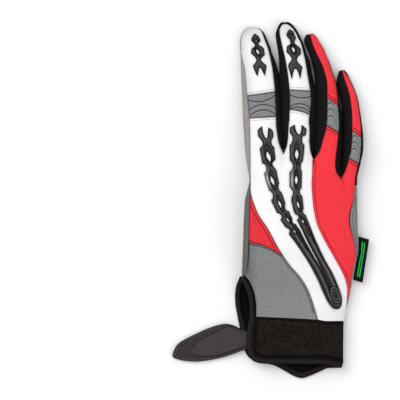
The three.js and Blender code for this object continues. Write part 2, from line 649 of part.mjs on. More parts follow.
function cuffLayer(left, bottom, side, outerShare) {
  return new Sheet().grid(steps(0, 1, 5), [...steps(0, 1, 8), ...outerShare], (down, across) => {
    const guess = mix(left(CUFF_MIDDLE), LITTLE.right(CUFF_MIDDLE) - 2, Math.min(across, 1));
    const hem = HEM * (side > 0 ? 1 : 1.25);
    const y = mix(CUFF_EDGE(guess) - HALF_GAP, bottom(guess) + hem, down);
    const turn = side > 0 ? across - 1 : 2 - across;
    if (across > 1) return sideSkin(LITTLE, 1, outside(RED_RIGHT, 1), y, turn, NEOPRENE);
    const right = side > 0 ? RED_RIGHT(y) + HALF_GAP : underX(LITTLE, 1, y);
    return skin(mix(left(y), right, across), y, side, NEOPRENE);
  });
}
add('cuff_back', cuffLayer(LAYER_LEFT.back, BACK_BOTTOM, 1, [1.14, 1.28, 1.42]), CUFF_BLACK);
add('cuff_palm', cuffLayer(LAYER_LEFT.palm, PALM_BOTTOM, -1, [1.15, 1.3, 1.44]), CUFF_BLACK);
const PATCH = { left: -12, right: 50, top: 1, inset: 0.7 };
add('cuff_loop_patch', new Sheet().grid(steps(0, 1, 4), steps(0, 1, 8), (down, across) => {
  const guess = mix(PATCH.left, PATCH.right, across);
  const y = mix(CUFF_EDGE(guess) - PATCH.top, BACK_BOTTOM(guess) + HEM + PATCH.inset, down);
  const x = mix(LAYER_LEFT.back(y) + PATCH.inset, PATCH.right, across);
  return skin(x, y, 1, LOOP, LOOP + GAP);
}), CUFF_BLACK);

// The bound edges run along paths on the surface
const HALF_BINDING = BINDING.width / 2;
const ACROSS = [-HALF_BINDING, -HALF_BINDING / 2, HALF_BINDING / 2, HALF_BINDING];
const bindingPath = (points) => {
  const corners = points.map(([x, y]) => new THREE.Vector3(x, y, 0));
  const curve = new THREE.CatmullRomCurve3(corners, false, 'centripetal');
  return (t) => curve.getPointAt(clamp(t, 0, 1));
};
function binding(path, place) {
  return new Sheet().grid(steps(0, 1, 40), ACROSS, (row, side) => {
    const step = 0.01;
    const along = path(row + step).sub(path(row - step)).normalize();
    const here = path(row);
    const edge = Math.abs(side) === HALF_BINDING;
    return place(here.x - along.y * side, here.y + along.x * side, edge);
  });
}
const BACK_EDGE = bindingPath([
  [-20.1, -60.0], [-17.6, -64.5], [-15.3, -71], [-14.3, -78], [-14.0, -86], [-15.0, -92],
  [-15.9, -98], [-16.0, -108], [-14.8, -115.5], [-12.4, -119], [-8, -120.6], [0, -121.1],
  [20, -121.1], [36, -121.2], [44, -122.2], [49.5, -123.2],
]);
add('cuff_binding_back', binding(BACK_EDGE, (x, y, edge) =>
  (edge ? skin(x, y, 1, BINDING.height - 1, RIM - 0.6) : skin(x, y, 1, BINDING.height, RIM))), EDGE);
const PALM_EDGE = bindingPath([
  [-22.8, -61.5], [-24.3, -66], [-24.9, -72], [-24.6, -78], [-23.6, -84], [-22.5, -90],
  [-20.9, -97.5], [-18.7, -109], [-15.6, -116.5], [-9, -120.2], [-2, -121.4], [4, -122.9],
  [11.6, -127], [18.6, -130.8], [23, -132.1], [28.2, -130.7], [36, -127.4], [43, -124.6], [50, -124],
]);
const FLAT_FROM = { wrist: -20, cuff: -10 }; // x where the palm's edge starts to lie level
add('cuff_binding_palm', binding(PALM_EDGE, (x, y, edge) => {
  const rim = edge ? RIM : 0;
  const level = mix(FLAT_FROM.wrist, FLAT_FROM.cuff, smooth(-84, -94, y));
  const bottom = Math.max(0, surface(Math.max(x, level), y, -1));
  const outer = new THREE.Vector3(x, y, bottom + rim);
  return { outer, inner: new THREE.Vector3(x, y, bottom + BINDING.height - rim) };
}), EDGE);

// Strap tab, hook pad under it, and the side label
const TAB_TOP = track([
  [-74, -116.0], [-73, -113.4], [-70.5, -109], [-68, -106.8], [-60.7, -102.8], [-53, -99.1], [-45.7, -96],
  [-38, -93.7], [-33.7, -93.2], [-30, -93.7], [-22.5, -96.7], [-18, -98.2], [-6, -99.8],
]);
const TAB_BOTTOM = track([
  [-74, -117.6], [-73, -118.8], [-69.7, -120], [-64.5, -121.1], [-57, -121.7], [-49.5, -121.1],
  [-38, -118.9], [-27, -115.5], [-18, -112.1], [-6, -109.5],
]);
const TAB_HEIGHT = track([[-40, HOOK + GAP], [-31, 3.4], [-16, 3.4], [-12, 2.4]]); // columns: x, underside
const slab = (rows, across, bottom, top, base, thickness) => new Sheet().grid(rows, across, (x, t) => {
  const outer = new THREE.Vector3(x, mix(bottom(x), top(x), t), base(x) + thickness);
  return { outer, inner: outer.clone().setZ(base(x)) };
});
add('strap_tab', slab(
  [-74, -73.2, -71.5, -68, -62, -55, -48, -41, -36, -31, -25, -18, -14, -8], steps(0, 1, 3),
  TAB_BOTTOM, TAB_TOP, TAB_HEIGHT, TAB,
), RUBBER);
const HOOK_EDGE = 3;
add('strap_hook_pad', slab(
  [-70.5, -68, -63, -56, -48, -41], steps(0, 1, 2),
  (x) => TAB_BOTTOM(x) + HOOK_EDGE, (x) => TAB_TOP(x) - HOOK_EDGE, () => 0, HOOK,
), CUFF_BLACK);
// The label stands out of the side seam; right is its outer edge's x at both ends
const FLAP = { height: 9, top: -27.4, bottom: -60, slope: 2.2, right: [73.9, 69] };
add('side_label', new Sheet().grid(steps(0, 1, 4), steps(0, 1, 2), (down, across) => {
  const y = mix(FLAP.top, FLAP.bottom, down) - FLAP.slope * across;
  const x = mix(LITTLE.right(y) + 1.3 * GAP, mix(...FLAP.right, down), across);
  const outer = new THREE.Vector3(x, y, FLAP.height + LABEL / 2);
  return { outer, inner: outer.clone().setZ(FLAP.height - LABEL / 2) };
}), DARK_GREEN);

// Rubber rails: a chain of links (y of their centres) that runs into a smooth bar
const LINK = { wide: 5.2, neck: 2.4, long: 4.6, hole: 3.2 };
function chain(centres, end) {
  const bumps = centres.flatMap((y) => [[y + LINK.long, LINK.neck], [y + 2, LINK.wide], [y - 2, LINK.wide]]);
  return track([...bumps, [centres.at(-1) - LINK.long, end]]);
}
const RAILS = [
  { name: 'back_rail_inner', links: [50.5, 32.2, 13.5, -3], join: -9, foot: -81.5,
    centre: track([[55, -3.9], [43, -4.5], [32, -2.2], [24, -0.8], [13.5, 1.5], [5, 3], [-3, 6], [-9, 9.4]]),
    left: track([[-9, 5.8], [-14, 7.6], [-24.7, 13.5], [-35, 21.7], [-46.5, 29.2], [-58.5, 34.5],
      [-67.5, 38.2], [-75, 41.8], [-81.5, 46.4]]),
    right: track([[-9, 13.2], [-14, 16.8], [-24, 22.2], [-34, 27.4], [-45, 33.6], [-52, 37.2], [-65, 43.2],
      [-76, 46.6], [-81.5, 47.6]]) },
  { name: 'back_rail_outer', links: [50.5, 33, 14.2], join: -2, foot: -81.5,
    centre: track([[55, 20.2], [43, 20.2], [33, 19.5], [24, 19.5], [14.2, 18.8], [6, 18.8], [-2, 20.2]]),
    left: track([[-2, 16.4], [-9, 18.4], [-16, 21.2], [-24, 25.2], [-34, 29.4], [-45, 34.6], [-52, 37.8],
      [-65, 43.8], [-76, 47.2], [-81.5, 48.2]]),
    right: track([[-2, 23.4], [-7.5, 24.6], [-16.5, 27.7], [-27.7, 32.2], [-36.7, 36.7], [-46.5, 42],
      [-57, 47.2], [-65, 50.8], [-73, 52.2], [-78, 51.4], [-81.5, 49.2]]) },
];
for (const rail of RAILS) {
  const wide = chain(rail.links, 3.4);
  const left = either(rail.join, (y) => rail.centre(y) - wide(y), rail.left);
  const right = either(rail.join, (y) => rail.centre(y) + wide(y), rail.right);
  const linkRows = rail.links.flatMap((y) => [y + LINK.long, y + LINK.hole, y, y - LINK.hole]);
  const rows = [...linkRows, rail.links.at(-1) - LINK.long, ...steps(rail.join, rail.foot, 12)];
  const pierced = (y, t) => Math.abs(t - 0.5) < 0.2
    && rail.links.slice(1).some((link) => Math.abs(y - link) < LINK.hole);
  const place = (y, t) => skin(mix(left(y), right(y), t), y, 1, RAIL, RAIL + GAP);
  const sheet = new Sheet().grid(rows, [0, 0.3, 0.5, 0.7, 1], place, (y, t) => !pierced(y, t));
  add(rail.name, sheet, GLOSSY);
}

// Rubber on two fingertips: a point, a link with a hole and a fork. Columns: y, half width.
const GRIPS = [
  { name: 'index_tip_grip', top: 124.5,
    centre: track([[124.5, -12.4], [115.5, -10.9], [111, -10.1], [104.6, -9.4], [92, -7.6]]) },
  { name: 'middle_tip_grip', top: 127.3,
    centre: track([[127.5, 13.9], [117.7, 15.7], [112, 16.9], [105, 17.6], [90, 19]]) },
];
const GRIP_WIDTHS = track([
  [0, 0.5], [-6, 3.4], [-9, 1.6], [-11, 4.6], [-13.5, 5.2], [-16, 4.6], [-19.5, 2.0],
  [-23.5, 4.8], [-32, 4.6],
]);
const GRIP_ROWS = [0, -3, -6, -9, -11, -13.5, -16, -19.5, -23.5, -26, -29, -32];
const GRIP_HOLE = { top: -11, bottom: -16, notch: -26, half: 0.35 };
const solidGrip = (row, t) => Math.abs(t) > GRIP_HOLE.half
  || row > GRIP_HOLE.top || (row < GRIP_HOLE.bottom && row > GRIP_HOLE.notch);
for (const { name, centre, top } of GRIPS) {
  const place = (row, t) =>
    skin(centre(top + row) + t * GRIP_WIDTHS(row), top + row, 1, GRIP, GRIP + GAP);
  const columns = [-1, -GRIP_HOLE.half, 0, GRIP_HOLE.half, 1];
  add(name, new Sheet().grid(GRIP_ROWS, columns, place, solidGrip), GLOSSY);
}

export default glove;
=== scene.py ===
"""A right-hand riding glove, palm down with its cuff strap open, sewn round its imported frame."""

import math

import bpy
import numpy as np
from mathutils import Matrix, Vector


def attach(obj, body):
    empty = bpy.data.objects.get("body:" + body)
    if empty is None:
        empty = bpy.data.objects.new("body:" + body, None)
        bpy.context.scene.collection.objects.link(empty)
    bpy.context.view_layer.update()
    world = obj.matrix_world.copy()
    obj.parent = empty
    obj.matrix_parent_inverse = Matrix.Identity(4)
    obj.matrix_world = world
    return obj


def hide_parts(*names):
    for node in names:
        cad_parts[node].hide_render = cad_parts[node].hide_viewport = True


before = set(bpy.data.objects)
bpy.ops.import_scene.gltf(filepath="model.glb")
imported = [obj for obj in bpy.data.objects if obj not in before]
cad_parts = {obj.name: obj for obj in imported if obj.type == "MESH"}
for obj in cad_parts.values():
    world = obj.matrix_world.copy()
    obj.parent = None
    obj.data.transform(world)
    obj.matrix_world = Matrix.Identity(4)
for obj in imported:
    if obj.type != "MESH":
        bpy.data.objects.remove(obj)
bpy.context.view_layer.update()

MM = 0.001  # the shapes below are in millimetres, the scene is in metres

# Thicknesses of the materials, millimetres
LEATHER = 1.2
STRETCH = 1.0
RIBBED = 1.5
NEOPRENE = 2.0
LOOP = 1.2
TAB = 2.6
HOOK = 1.4
LABEL = 1.0
RAIL = 2.2
GRIP = 1.8
BINDING = {"width": 4.0, "height": 3.0}

# Seams and places on the glove, millimetres
GAP = 0.3  # between two layers
HALF_GAP = 0.16  # from a seam's line to the edge of a panel
PROUD = 0.5  # how far the knuckle panels stand out
SINK = 1.7  # how deep the cloth between two fingers lies at their crotch
RIM = 0.7  # how much the edge of a folded tape is rounded
WRIST_START = -78  # Y where the panels start to follow the cuff's slanted edge
WRIST_END = -88
THUMB_WEB = 16.6  # Y between the index finger's side and the hand's
SLIT_TOP = -57.5  # Y where the cuff's slit starts
SIDE_TOP = 10.3  # Y where the little finger's black side passes into the grey one
SIDE_BOTTOM = -42  # Y where the grey one ends
BLEND = 16  # half the length over which the fingers pass into the hand

# Shape of the sections
TIP_SEAM = 0.95  # share of a fingertip's width that the seams close in to
TIP_SHAPE = {"plan": 2.5, "profile": 2.0, "cap": 0.9995}
SEAM_ANGLE = 35  # degrees below the middle where the palm's seam lies
HAND_ROUNDNESS = 2.4


# Curves and sections
def track(rows, column=1):
    """Smooth curve through the rows of a table, monotone between them. Column 0 is the place."""
    places, values = np.array(sorted((row[0], row[column]) for row in rows), float).T
    rates = np.diff(values) / np.diff(places)
    slopes = np.concatenate([rates[:1], rates[:-1] * 0.0, rates[-1:]])
    before, after = rates[:-1], rates[1:]
    both = before * after > 0
    slopes[1:-1][both] = 2 * before[both] * after[both] / (before[both] + after[both])

    def at(place):
        x = np.clip(np.asarray(place, float), places[0], places[-1])
        i = np.clip(np.searchsorted(places, x, side="left") - 1, 0, len(places) - 2)
        width = places[i + 1] - places[i]
        t = (x - places[i]) / width
        rise = values[i + 1] - values[i]
        start, end = slopes[i] * width, slopes[i + 1] * width
        bend = 3 * rise - 2 * start - end
        return values[i] + t * (start + t * (bend + t * (start + end - 2 * rise)))

    return at


def line(rows):
    """Straight lines through the rows of a table: place, value."""
    places, values = np.array(sorted(rows), float).T
    return lambda place: np.interp(place, places, values)


def mix(a, b, t):
    """From a (t = 0) to b (t = 1)."""
    return a + (b - a) * t


def smooth(low, high, value):
    """0 up to low, 1 from high on, eased between them."""
    t = np.clip((np.asarray(value, float) - low) / (high - low), 0, 1)
    return t * t * (3 - 2 * t)


def bump(distance, width):
    """1 at distance 0, fading over about the width."""
    return np.exp(-((distance / width) ** 2))


class Finger:
    """A finger as it lies: tables of its edges and heights, rounded from round to end."""

    def __init__(self, round_from, end, rows):
        self.round, self.end = round_from, end
        self.left, self.right, self.under, self.over = (track(rows, c) for c in (1, 2, 3, 4))


# Columns: y, left edge, right edge, underside height, top height
INDEX = Finger(112, 130, [
    [130, -24.0, -2.5, 0.2, 12.8], [120, -23.7, -2.0, 0, 14.5], [112, -22.9, 0.6, 0, 16.0],
    [105, -22.7, 3.0, 0.2, 17.2], [97, -22.5, 5.2, 0.6, 18.4], [90, -22.1, 6.3, 1.2, 19.6],
    [75, -21.5, 7.3, 2.6, 22.0], [60, -21.0, 7.7, 4.6, 24.6], [45, -20.0, 8.6, 7.0, 27.2],
    [35, -19.2, 9.1, 9.2, 28.8], [22, -17.4, 9.2, 13.0, 31.0], [15, -16.1, 9.2, 13.4, 31.6],
    [0, -19.5, 7.0, 14.0, 31.0], [-35, -21.2, 5.0, 12.0, 29.0], [-58, -21.8, 3.0, 5.0, 20.0],
])
MIDDLE = Finger(116, 134.3, [
    [134, 3.0, 18.0, 0.2, 13.0], [127, 2.9, 21.3, 0, 14.6], [120, 4.0, 23.5, 0, 16.2],
    [112, 5.3, 26.4, 0.2, 17.8], [105, 6.0, 28.9, 0.7, 19.2], [97, 6.4, 30.4, 1.4, 20.6],
    [90, 6.9, 32.0, 2.0, 21.8], [75, 7.9, 33.8, 3.2, 24.2], [60, 8.3, 33.1, 4.8, 26.4],
    [45, 9.2, 32.3, 6.6, 28.4], [31, 9.7, 31.6, 8.4, 29.6],
])
RING = Finger(110, 125.4, [
    [125, 23.4, 36.6, 0.4, 13.0], [120, 24.1, 37.0, 0.1, 14.6], [112, 27.7, 40.8, 0, 17.0],
    [105, 30.0, 43.5, 0, 18.8], [97, 32.0, 46.1, 0.4, 20.4], [90, 33.0, 48.5, 0.8, 21.6],
    [75, 34.4, 51.2, 1.8, 24.0], [60, 33.7, 53.3, 2.8, 26.0], [45, 32.9, 53.0, 3.8, 27.4],
    [31, 32.2, 52.2, 4.8, 28.2], [17, 32.0, 52.2, 5.4, 28.6],
])
LITTLE = Finger(84, 98.4, [
    [98, 49.2, 57.6, 0.3, 11.6], [90, 49.3, 60.4, 0.1, 14.0], [82, 50.5, 63.5, 0, 16.0],
    [75, 52.1, 65.6, 0, 17.2], [67, 53.3, 66.8, 0, 18.2], [60, 53.9, 67.9, 0, 19.0],
    [45, 53.7, 69.5, 0.2, 20.6], [37, 53.2, 69.2, 0.3, 21.2], [26, 52.8, 67.1, 0.5, 21.8],
    [15, 52.8, 64.7, 0.7, 22.2], [0, 51.0, 64.9, 0.8, 22.2], [-38, 50.0, 65.4, 0.6, 20.6],
    [-45, 49.0, 64.0, 0.5, 20.0], [-60, 46.5, 61.3, 0.4, 18.2], [-75, 44.0, 58.5, 0.2, 16.2],
    [-90, 40.0, 54.7, 0, 14.6], [-124, 39.5, 53.7, 0, 13.4],
])
THUMB = Finger(6, 26, [
    [26, -9.0, 10.0, 0, 12.6], [10, -13.5, 12.0, 0, 13.0], [-10, -16.6, 13.6, 0, 13.4],
    [-40, -18.6, 14.8, 0, 12.8], [-75, -18.8, 15.0, 0, 12.8],
])

# The hand: side heights, rise of the back and drop of the palm at both sides.
# Columns: y, left edge, right edge, left middle, right middle, rise, left drop, right drop.
HAND_ROWS = [
    [45, -20.0, 69.5, 17.2, 11.2, 13.0, 9.6, 13.0], [35, -19.2, 69.0, 19.0, 11.2, 13.6, 8.8, 14.0],
    [22, -17.4, 66.4, 21.6, 11.4, 14.6, 5.2, 15.0], [15, -16.1, 64.7, 22.4, 11.4, 15.2, 4.2, 15.6],
    [0, -19.5, 64.9, 22.5, 11.5, 15.8, 4.0, 16.5], [-20, -20.5, 65.5, 22.2, 11.2, 15.4, 3.9, 16.5],
    [-35, -21.2, 65.5, 20.8, 10.6, 14.6, 3.8, 16.0], [-45, -21.4, 64.0, 17.2, 10.2, 14.0, 4.0, 15.0],
    [-58, -21.8, 61.7, 12.4, 9.4, 13.2, 5.6, 13.6], [-71, -25.4, 59.3, 7.2, 8.4, 12.4, 11.0, 12.0],
    [-88, -24.0, 55.4, 4.6, 7.5, 11.6, 9.6, 10.0], [-124, -21.6, 53.7, 4.2, 6.8, 10.4, 9.6, 9.0],
]
HAND_LEFT, HAND_RIGHT, SIDE_LEFT, SIDE_RIGHT, RISE, DROP_LEFT, DROP_RIGHT = (
    track(HAND_ROWS, column) for column in range(1, 8)
)

# Where the sides of neighbouring fingers meet: x and y of each crotch
CROTCH = {"index_middle": (9.4, 35.2), "middle_ring": (31.9, 31.1), "ring_little": (52.5, 16.9)}
crotch_line = track([(-20, 38), *CROTCH.values(), (66, 13)])


def point_row(name):
    """A crotch as a row of a seam table: y, x."""
    x, y = CROTCH[name]
    return (y, x)


# Seams of the back, seen from above. Columns: y, x.
WHITE_LEFT = track([
    (124, -22.7), (112, -22.4), (97, -19.5), (75, -17.6), (60, -16.4), (37, -16.0), (8, -15.9),
    (-7.5, -11.6), (-22.5, -2.2), (-37.5, 6.0), (-49.5, 14.2), (-58, 21.7), (-68, 27.7),
    (-80, 32.2), (-90, 35.6),
])
INDEX_RIGHT = track([
    (130, -7.5), (120, -3.9), (112, -1.1), (97, 1.8), (82, 3.4), (64, 4.1), (52, 4.6), (44, 6.1),
    point_row("index_middle"),
])
MIDDLE_LEFT = track([
    (134, 7.5), (127, 6.1), (120, 7.1), (105, 10.5), (90, 12.8), (75, 13.8), (63, 13.3),
    (50, 12.6), (41, 11.7), point_row("index_middle"),
])
MIDDLE_RIGHT = track([
    (134, 14.5), (127, 19.2), (120, 22.5), (105, 26.2), (90, 28.6), (81, 30.0), (75, 30.4),
    (66, 29.5), (58, 28.9), (45, 29.2), (37, 30.0), point_row("middle_ring"),
])
RING_LEFT = track([
    (125, 29.4), (120, 30.4), (112, 33.0), (105, 36.6), (97, 39.8), (86, 42.0), (75, 42.0),
    (60, 41.6), (52, 40.5), (45, 38.2), (37, 35.8), point_row("middle_ring"),
])
RING_RIGHT = track([
    (125, 32.4), (120, 35.7), (112, 40.1), (105, 43.2), (97, 45.6), (86, 48.8), (75, 50.0),
    (66, 50.7), (56, 51.1), (48, 50.7), (37, 49.5), (27, 48.6), (21, 49.4),
    point_row("ring_little"),
])
LITTLE_LEFT = track([
    (98, 53.2), (90, 55.5), (82, 58.2), (75, 59.6), (64, 60.6), (52, 60.7), (37, 59.6),
    (30, 57.6), (22, 54.9), point_row("ring_little"),
])
RED_RIGHT = track([
    (98, 54.6), (90, 60.0), (82, 63.2), (75, 65.3), (60, 67.3), (52, 68.1), (41, 67.7),
    (28, 66.2), (15, 63.7), (8, 63.4), (0, 62.4), (-8, 60.0), (-15, 59.2), (-22, 60.3),
    (-30, 62.4), (-42, 64.2), (-45, 63.6), (-60, 60.9), (-75, 58.1), (-90, 54.3),
])
RED_SEAM_TOP = 28  # Y below which the white panel meets the red one
WHITE_RIGHT = track([
    point_row("middle_ring"), (22, 31.1), (13, 30.5), (0, 31.3), (-15, 33.7), (-30, 40.1),
    (-45, 48.7), (-60, 56.2), (-68, 57.9), (-75, 57.5), (-90, 53.5),
])
WHITE_SPLIT = track([point_row("index_middle"), (0, 10.0), (-30, 21.0), (-60, 39.5), (-90, 44.6)])
RED_SPLIT = track([
    point_row("ring_little"), (-15, 48.0), (-45, 57.0), (-66, 59.0), (-71, 58.5), (-77.5, 57.4),
])
SIDE_SEAM = track([(16, -15.7), (0, -16.3), (-30, -17.1), (-45, -17.6), (-54, -18.8), (-57.6, -20.2)])
SLIT_EDGE = track([(-57.5, -19.6), (-60, -17.2), (-64.5, -14.8), (-73, -12.2), (-81, -11.4), (-90, -11.4)])
CUFF_EDGE = track([(-12, -88), (35, -90.4), (42, -91.4), (55, -91.4)])  # columns: x, y


def section(part, y):
    """Middle, half width and half height of a finger across Y."""
    left, right, under, over = part.left(y), part.right(y), part.under(y), part.over(y)
    t = np.clip((y - part.round) / (part.end - part.round), 0, TIP_SHAPE["cap"])
    wide = (right - left) / 2 * (1 - t ** TIP_SHAPE["plan"]) ** (1 / TIP_SHAPE["plan"])
    high = (over - under) / 2 * (1 - t ** TIP_SHAPE["profile"]) ** (1 / TIP_SHAPE["profile"])
    return (left + right) / 2, (under + over) / 2, wide, high


def finger_height(x, y, side):
    """Back or underside of the fingers, each one up to its own right edge."""
    height = None
    for part in (LITTLE, RING, MIDDLE, INDEX):
        middle, z, wide, high = section(part, y)
        across = np.clip((x - middle) / wide, -1, 1)
        here = z + side * high * np.sqrt(1 - across * across)
        height = here if height is None else np.where(x <= part.right(y) + HALF_GAP, here, height)
    return height


def hand_height(x, y, side):
    """Back or underside of the hand: an arch between its two sides."""
    left, right = HAND_LEFT(y), HAND_RIGHT(y)
    t = np.clip((x - left) / (right - left), 0, 1)
    arch = (1 - np.abs(2 * t - 1) ** HAND_ROUNDNESS) ** (1 / HAND_ROUNDNESS)
    middle = mix(SIDE_LEFT(y), SIDE_RIGHT(y), t)
    if side > 0:
        return middle + RISE(y) * arch
    drop = mix(DROP_LEFT(y), DROP_RIGHT(y), smooth(0.38, 0.8, t))
    return np.maximum(0, middle - drop * arch)


def surface(x, y, side):
    """Height of the glove's outside above the floor, on its back (side 1) or underside (-1)."""
    x, y = np.broadcast_arrays(np.asarray(x, float), np.asarray(y, float))
    share = smooth(crotch_line(x) - BLEND, crotch_line(x) + BLEND, y)
    return mix(hand_height(x, y, side), finger_height(x, y, side), share)


def unit(v):
    """Vectors of length 1."""
    return v / np.maximum(np.linalg.norm(v, axis=-1, keepdims=True), 1e-9)


def on_surface(x, y, side=1):
    """Points of the surface and their outward directions."""
    step = GAP / 6
    slope_x = (surface(x + step, y, side) - surface(x - step, y, side)) / (2 * step)
    slope_y = (surface(x, y + step, side) - surface(x, y - step, side)) / (2 * step)
    points = np.stack(np.broadcast_arrays(x, y, surface(x, y, side)), -1)
    normals = unit(np.stack([-slope_x, -slope_y, np.ones_like(slope_x)], -1) * side)
    return points, normals


def side_point(part, side, seam, y, down, sink=0.0):
    """Side of a finger or of the hand, from the back's seam (down 0) to the palm's (down 1)."""
    x, z, wide, high = section(part, y)
    top = np.arccos(np.clip(side * (seam(y) - x) / wide, -1, 1))
    bottom = -math.radians(SEAM_ANGLE)
    angle = mix(top, bottom, down)
    top_x = x + side * wide * np.cos(top)
    bottom_x = x + side * wide * math.cos(bottom)
    top_lift = surface(top_x, y, 1) - sink - (z + high * np.sin(top))
    bottom_lift = surface(bottom_x, y, -1) + sink - (z + high * math.sin(bottom))
    height = z + high * np.sin(angle) + mix(top_lift, bottom_lift, down)
    return np.stack(np.broadcast_arrays(x + side * wide * np.cos(angle), y, height), -1)


def on_side(part, side, seam, y, down, sink=0.0):
    """Points of a side and their outward directions."""
    step = 0.02
    points = side_point(part, side, seam, y, down, sink)
    along = side_point(part, side, seam, y + step, down, sink) - side_point(
        part, side, seam, y - step, down, sink)
    around = side_point(part, side, seam, y, down + step, sink) - side_point(
        part, side, seam, y, down - step, sink)
    return points, unit(np.cross(around, along) * side)


# Thick sheets
class Sheet:
    """A thick sheet: grids of outer and inner points, closed round every free edge."""

    def __init__(self):
        self.outer, self.inner, self.uv, self.tone, self.quads, self.count = [], [], [], [], [], 0

    def grid(self, outer, inner, keep=None, uv=None, tone=1.0):
        """Adds rows and columns of points; keep leaves out cells, uv lays out the threads."""
        rows, columns = outer.shape[:2]
        at = self.count + np.arange(rows * columns).reshape(rows, columns)
        quads = np.stack([at[:-1, :-1], at[:-1, 1:], at[1:, 1:], at[1:, :-1]], -1)
        self.quads.append(quads[keep] if keep is not None else quads.reshape(-1, 4))
        self.outer.append(outer.reshape(-1, 3))
        self.inner.append(inner.reshape(-1, 3))
        self.uv.append((outer[..., :2] if uv is None else uv).reshape(-1, 2))
        self.tone.append(np.broadcast_to(tone, (rows, columns)).reshape(-1))
        self.count += rows * columns
        return self

    def build(self, name, materials, sharp=50):
        """A mesh object: its first material outside and on the edges, its last one inside."""
        outer, inner, uv, tone = (
            np.concatenate(part) for part in (self.outer, self.inner, self.uv, self.tone))
        _, first, merged = np.unique(
            np.round(outer, 3), axis=0, return_index=True, return_inverse=True)
        merged = merged.reshape(-1)
        outer, inner, uv, tone = outer[first], inner[first], uv[first], tone[first]
        count = len(outer)
        quads = merged[np.concatenate(self.quads)]
        follows = np.roll(quads, -1, axis=1)
        spare = (quads == follows).sum(axis=1)
        quads = quads[(spare < 2) & (quads[:, 0] != quads[:, 2]) & (quads[:, 1] != quads[:, 3])]
        starts, ends = quads.reshape(-1), np.roll(quads, -1, axis=1).reshape(-1)
        real = starts != ends
        starts, ends = starts[real], ends[real]
        free = ~np.isin(ends.astype(np.int64) * count + starts, starts.astype(np.int64) * count + ends)
        walls = np.stack([ends[free], starts[free], starts[free] + count, ends[free] + count], -1)
        faces = [*quads.tolist(), *(quads[:, ::-1] + count).tolist(), *walls.tolist()]
        faces = [list(dict.fromkeys(face)) for face in faces]
        points = np.concatenate([outer, inner])
        corners = points[quads]
        volume = np.einsum(
            "ij,ij->", outer[quads[:, 0]] - inner[quads[:, 0]],
            np.cross(corners[:, 1] - corners[:, 0], corners[:, 2] - corners[:, 0]))
        if volume < 0:
            faces = [face[::-1] for face in faces]
        inside = np.zeros(len(faces), bool)
        inside[len(quads):2 * len(quads)] = True
        return make_mesh(
            name, points, faces, materials, np.concatenate([uv, uv]), inside, sharp,
            np.concatenate([tone, tone]))


def make_mesh(name, points, faces, materials, uv=None, inside=None, sharp=50, tone=1.0):
    """A smooth-shaded mesh object, from millimetres.

    The tone of each point darkens (below 1) or lightens its material: mostly painted shade in creases,
    grooves, seams and rims and painted highlights on ridges and bevels, and also the loop fibres' own
    random differences of colour."""
    mesh = bpy.data.meshes.new(name)
    mesh.from_pydata((np.asarray(points) * MM).tolist(), [], faces)
    for material in materials:
        mesh.materials.append(material)
    mesh.polygons.foreach_set("use_smooth", np.ones(len(mesh.polygons), bool))
    if inside is not None and len(materials) > 1:
        mesh.polygons.foreach_set("material_index", np.where(inside, len(materials) - 1, 0))
    corner_points = np.empty(len(mesh.loops), np.int32)
    mesh.loops.foreach_get("vertex_index", corner_points)
    flat = np.asarray(points)[:, :2] if uv is None else uv
    mesh.uv_layers.new(name="cloth").data.foreach_set("uv", (flat[corner_points] * MM).reshape(-1))
    tones = mesh.attributes.new("tone", "FLOAT", "POINT")
    tones.data.foreach_set("value", np.array(np.broadcast_to(tone, len(mesh.vertices)), np.float32))
    mesh.set_sharp_from_angle(angle=math.radians(sharp))
    mesh.update()
    piece = bpy.data.objects.new(name, mesh)
    bpy.context.scene.collection.objects.link(piece)
    return piece


def fit(piece, slot, *nodes):
    """The piece rides on the glove and stands for these nodes. The slot is not used."""
    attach(piece, "root")
    if nodes:
        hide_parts(*nodes)


ALL_EDGES = ("first", "last", "left", "right")


def from_edges(points, sides=ALL_EDGES):
    """Distance over the sheet from the named edges: first or last row, left or right column."""
    along = np.linalg.norm(np.diff(points, axis=0), axis=-1)
    across = np.linalg.norm(np.diff(points, axis=1), axis=-1)
    down = np.concatenate([np.zeros((1, points.shape[1])), np.cumsum(along, axis=0)])
    over = np.concatenate([np.zeros((points.shape[0], 1)), np.cumsum(across, axis=1)], axis=1)
    reach = {"first": down, "last": down[-1:] - down, "left": over, "right": over[:, -1:] - over}
    return np.min([reach[side] for side in sides], axis=0)


def turned_edge(distance, depth=0.55, width=0.9):
    """Height of a sewn panel near its seams: it dips into the seam and swells a little beside it."""
    return -depth * bump(distance, width) + 0.12 * bump(distance - 2.4, 1.6)


def seam_tone(distance, dark=0.35):
    """Tone of a panel near its seams: the turned edge lies in shadow."""
    return 1 - (1 - dark) * bump(distance, 0.45)


def panel_tone(points, soft=(), sides=ALL_EDGES):
    """Painted shade: dark along a panel's seams and only faint along its soft sides."""
    tone = seam_tone(from_edges(points, [side for side in sides if side not in soft]))
    if soft:
        tone = tone * seam_tone(from_edges(points, soft), dark=0.85)
    return tone


def waves(x, y, seed, size, height):
    """Soft uneven waves of about that size, the same on every run."""
    rng = np.random.default_rng(seed)
    total = 0.0
    for _ in range(7):
        angle, phase = rng.uniform(0, 2 * math.pi, 2)
        length = size * rng.uniform(0.7, 1.6)
        total = total + np.sin(2 * math.pi * (x * math.cos(angle) + y * math.sin(angle)) / length + phase)
    return height * total / 4


def steps(start, end, count):
    """Evenly spaced values, one more than the count of steps."""
    return np.linspace(start, end, count + 1)


def tip_rows(part, start, count, short):
    """Rows of y that crowd together towards a rounded tip and stop a little short of it."""
    return mix(start, part.end - short, np.sin(steps(0, math.pi / 2, count)))


def at_wrist(x, row):
    """Rows below WRIST_START stretch to the cuff's slanted top edge."""
    share = np.clip((WRIST_START - row) / (WRIST_START - WRIST_END), 0, 1)
    return row + share * (CUFF_EDGE(x) + 2 * GAP - WRIST_END)


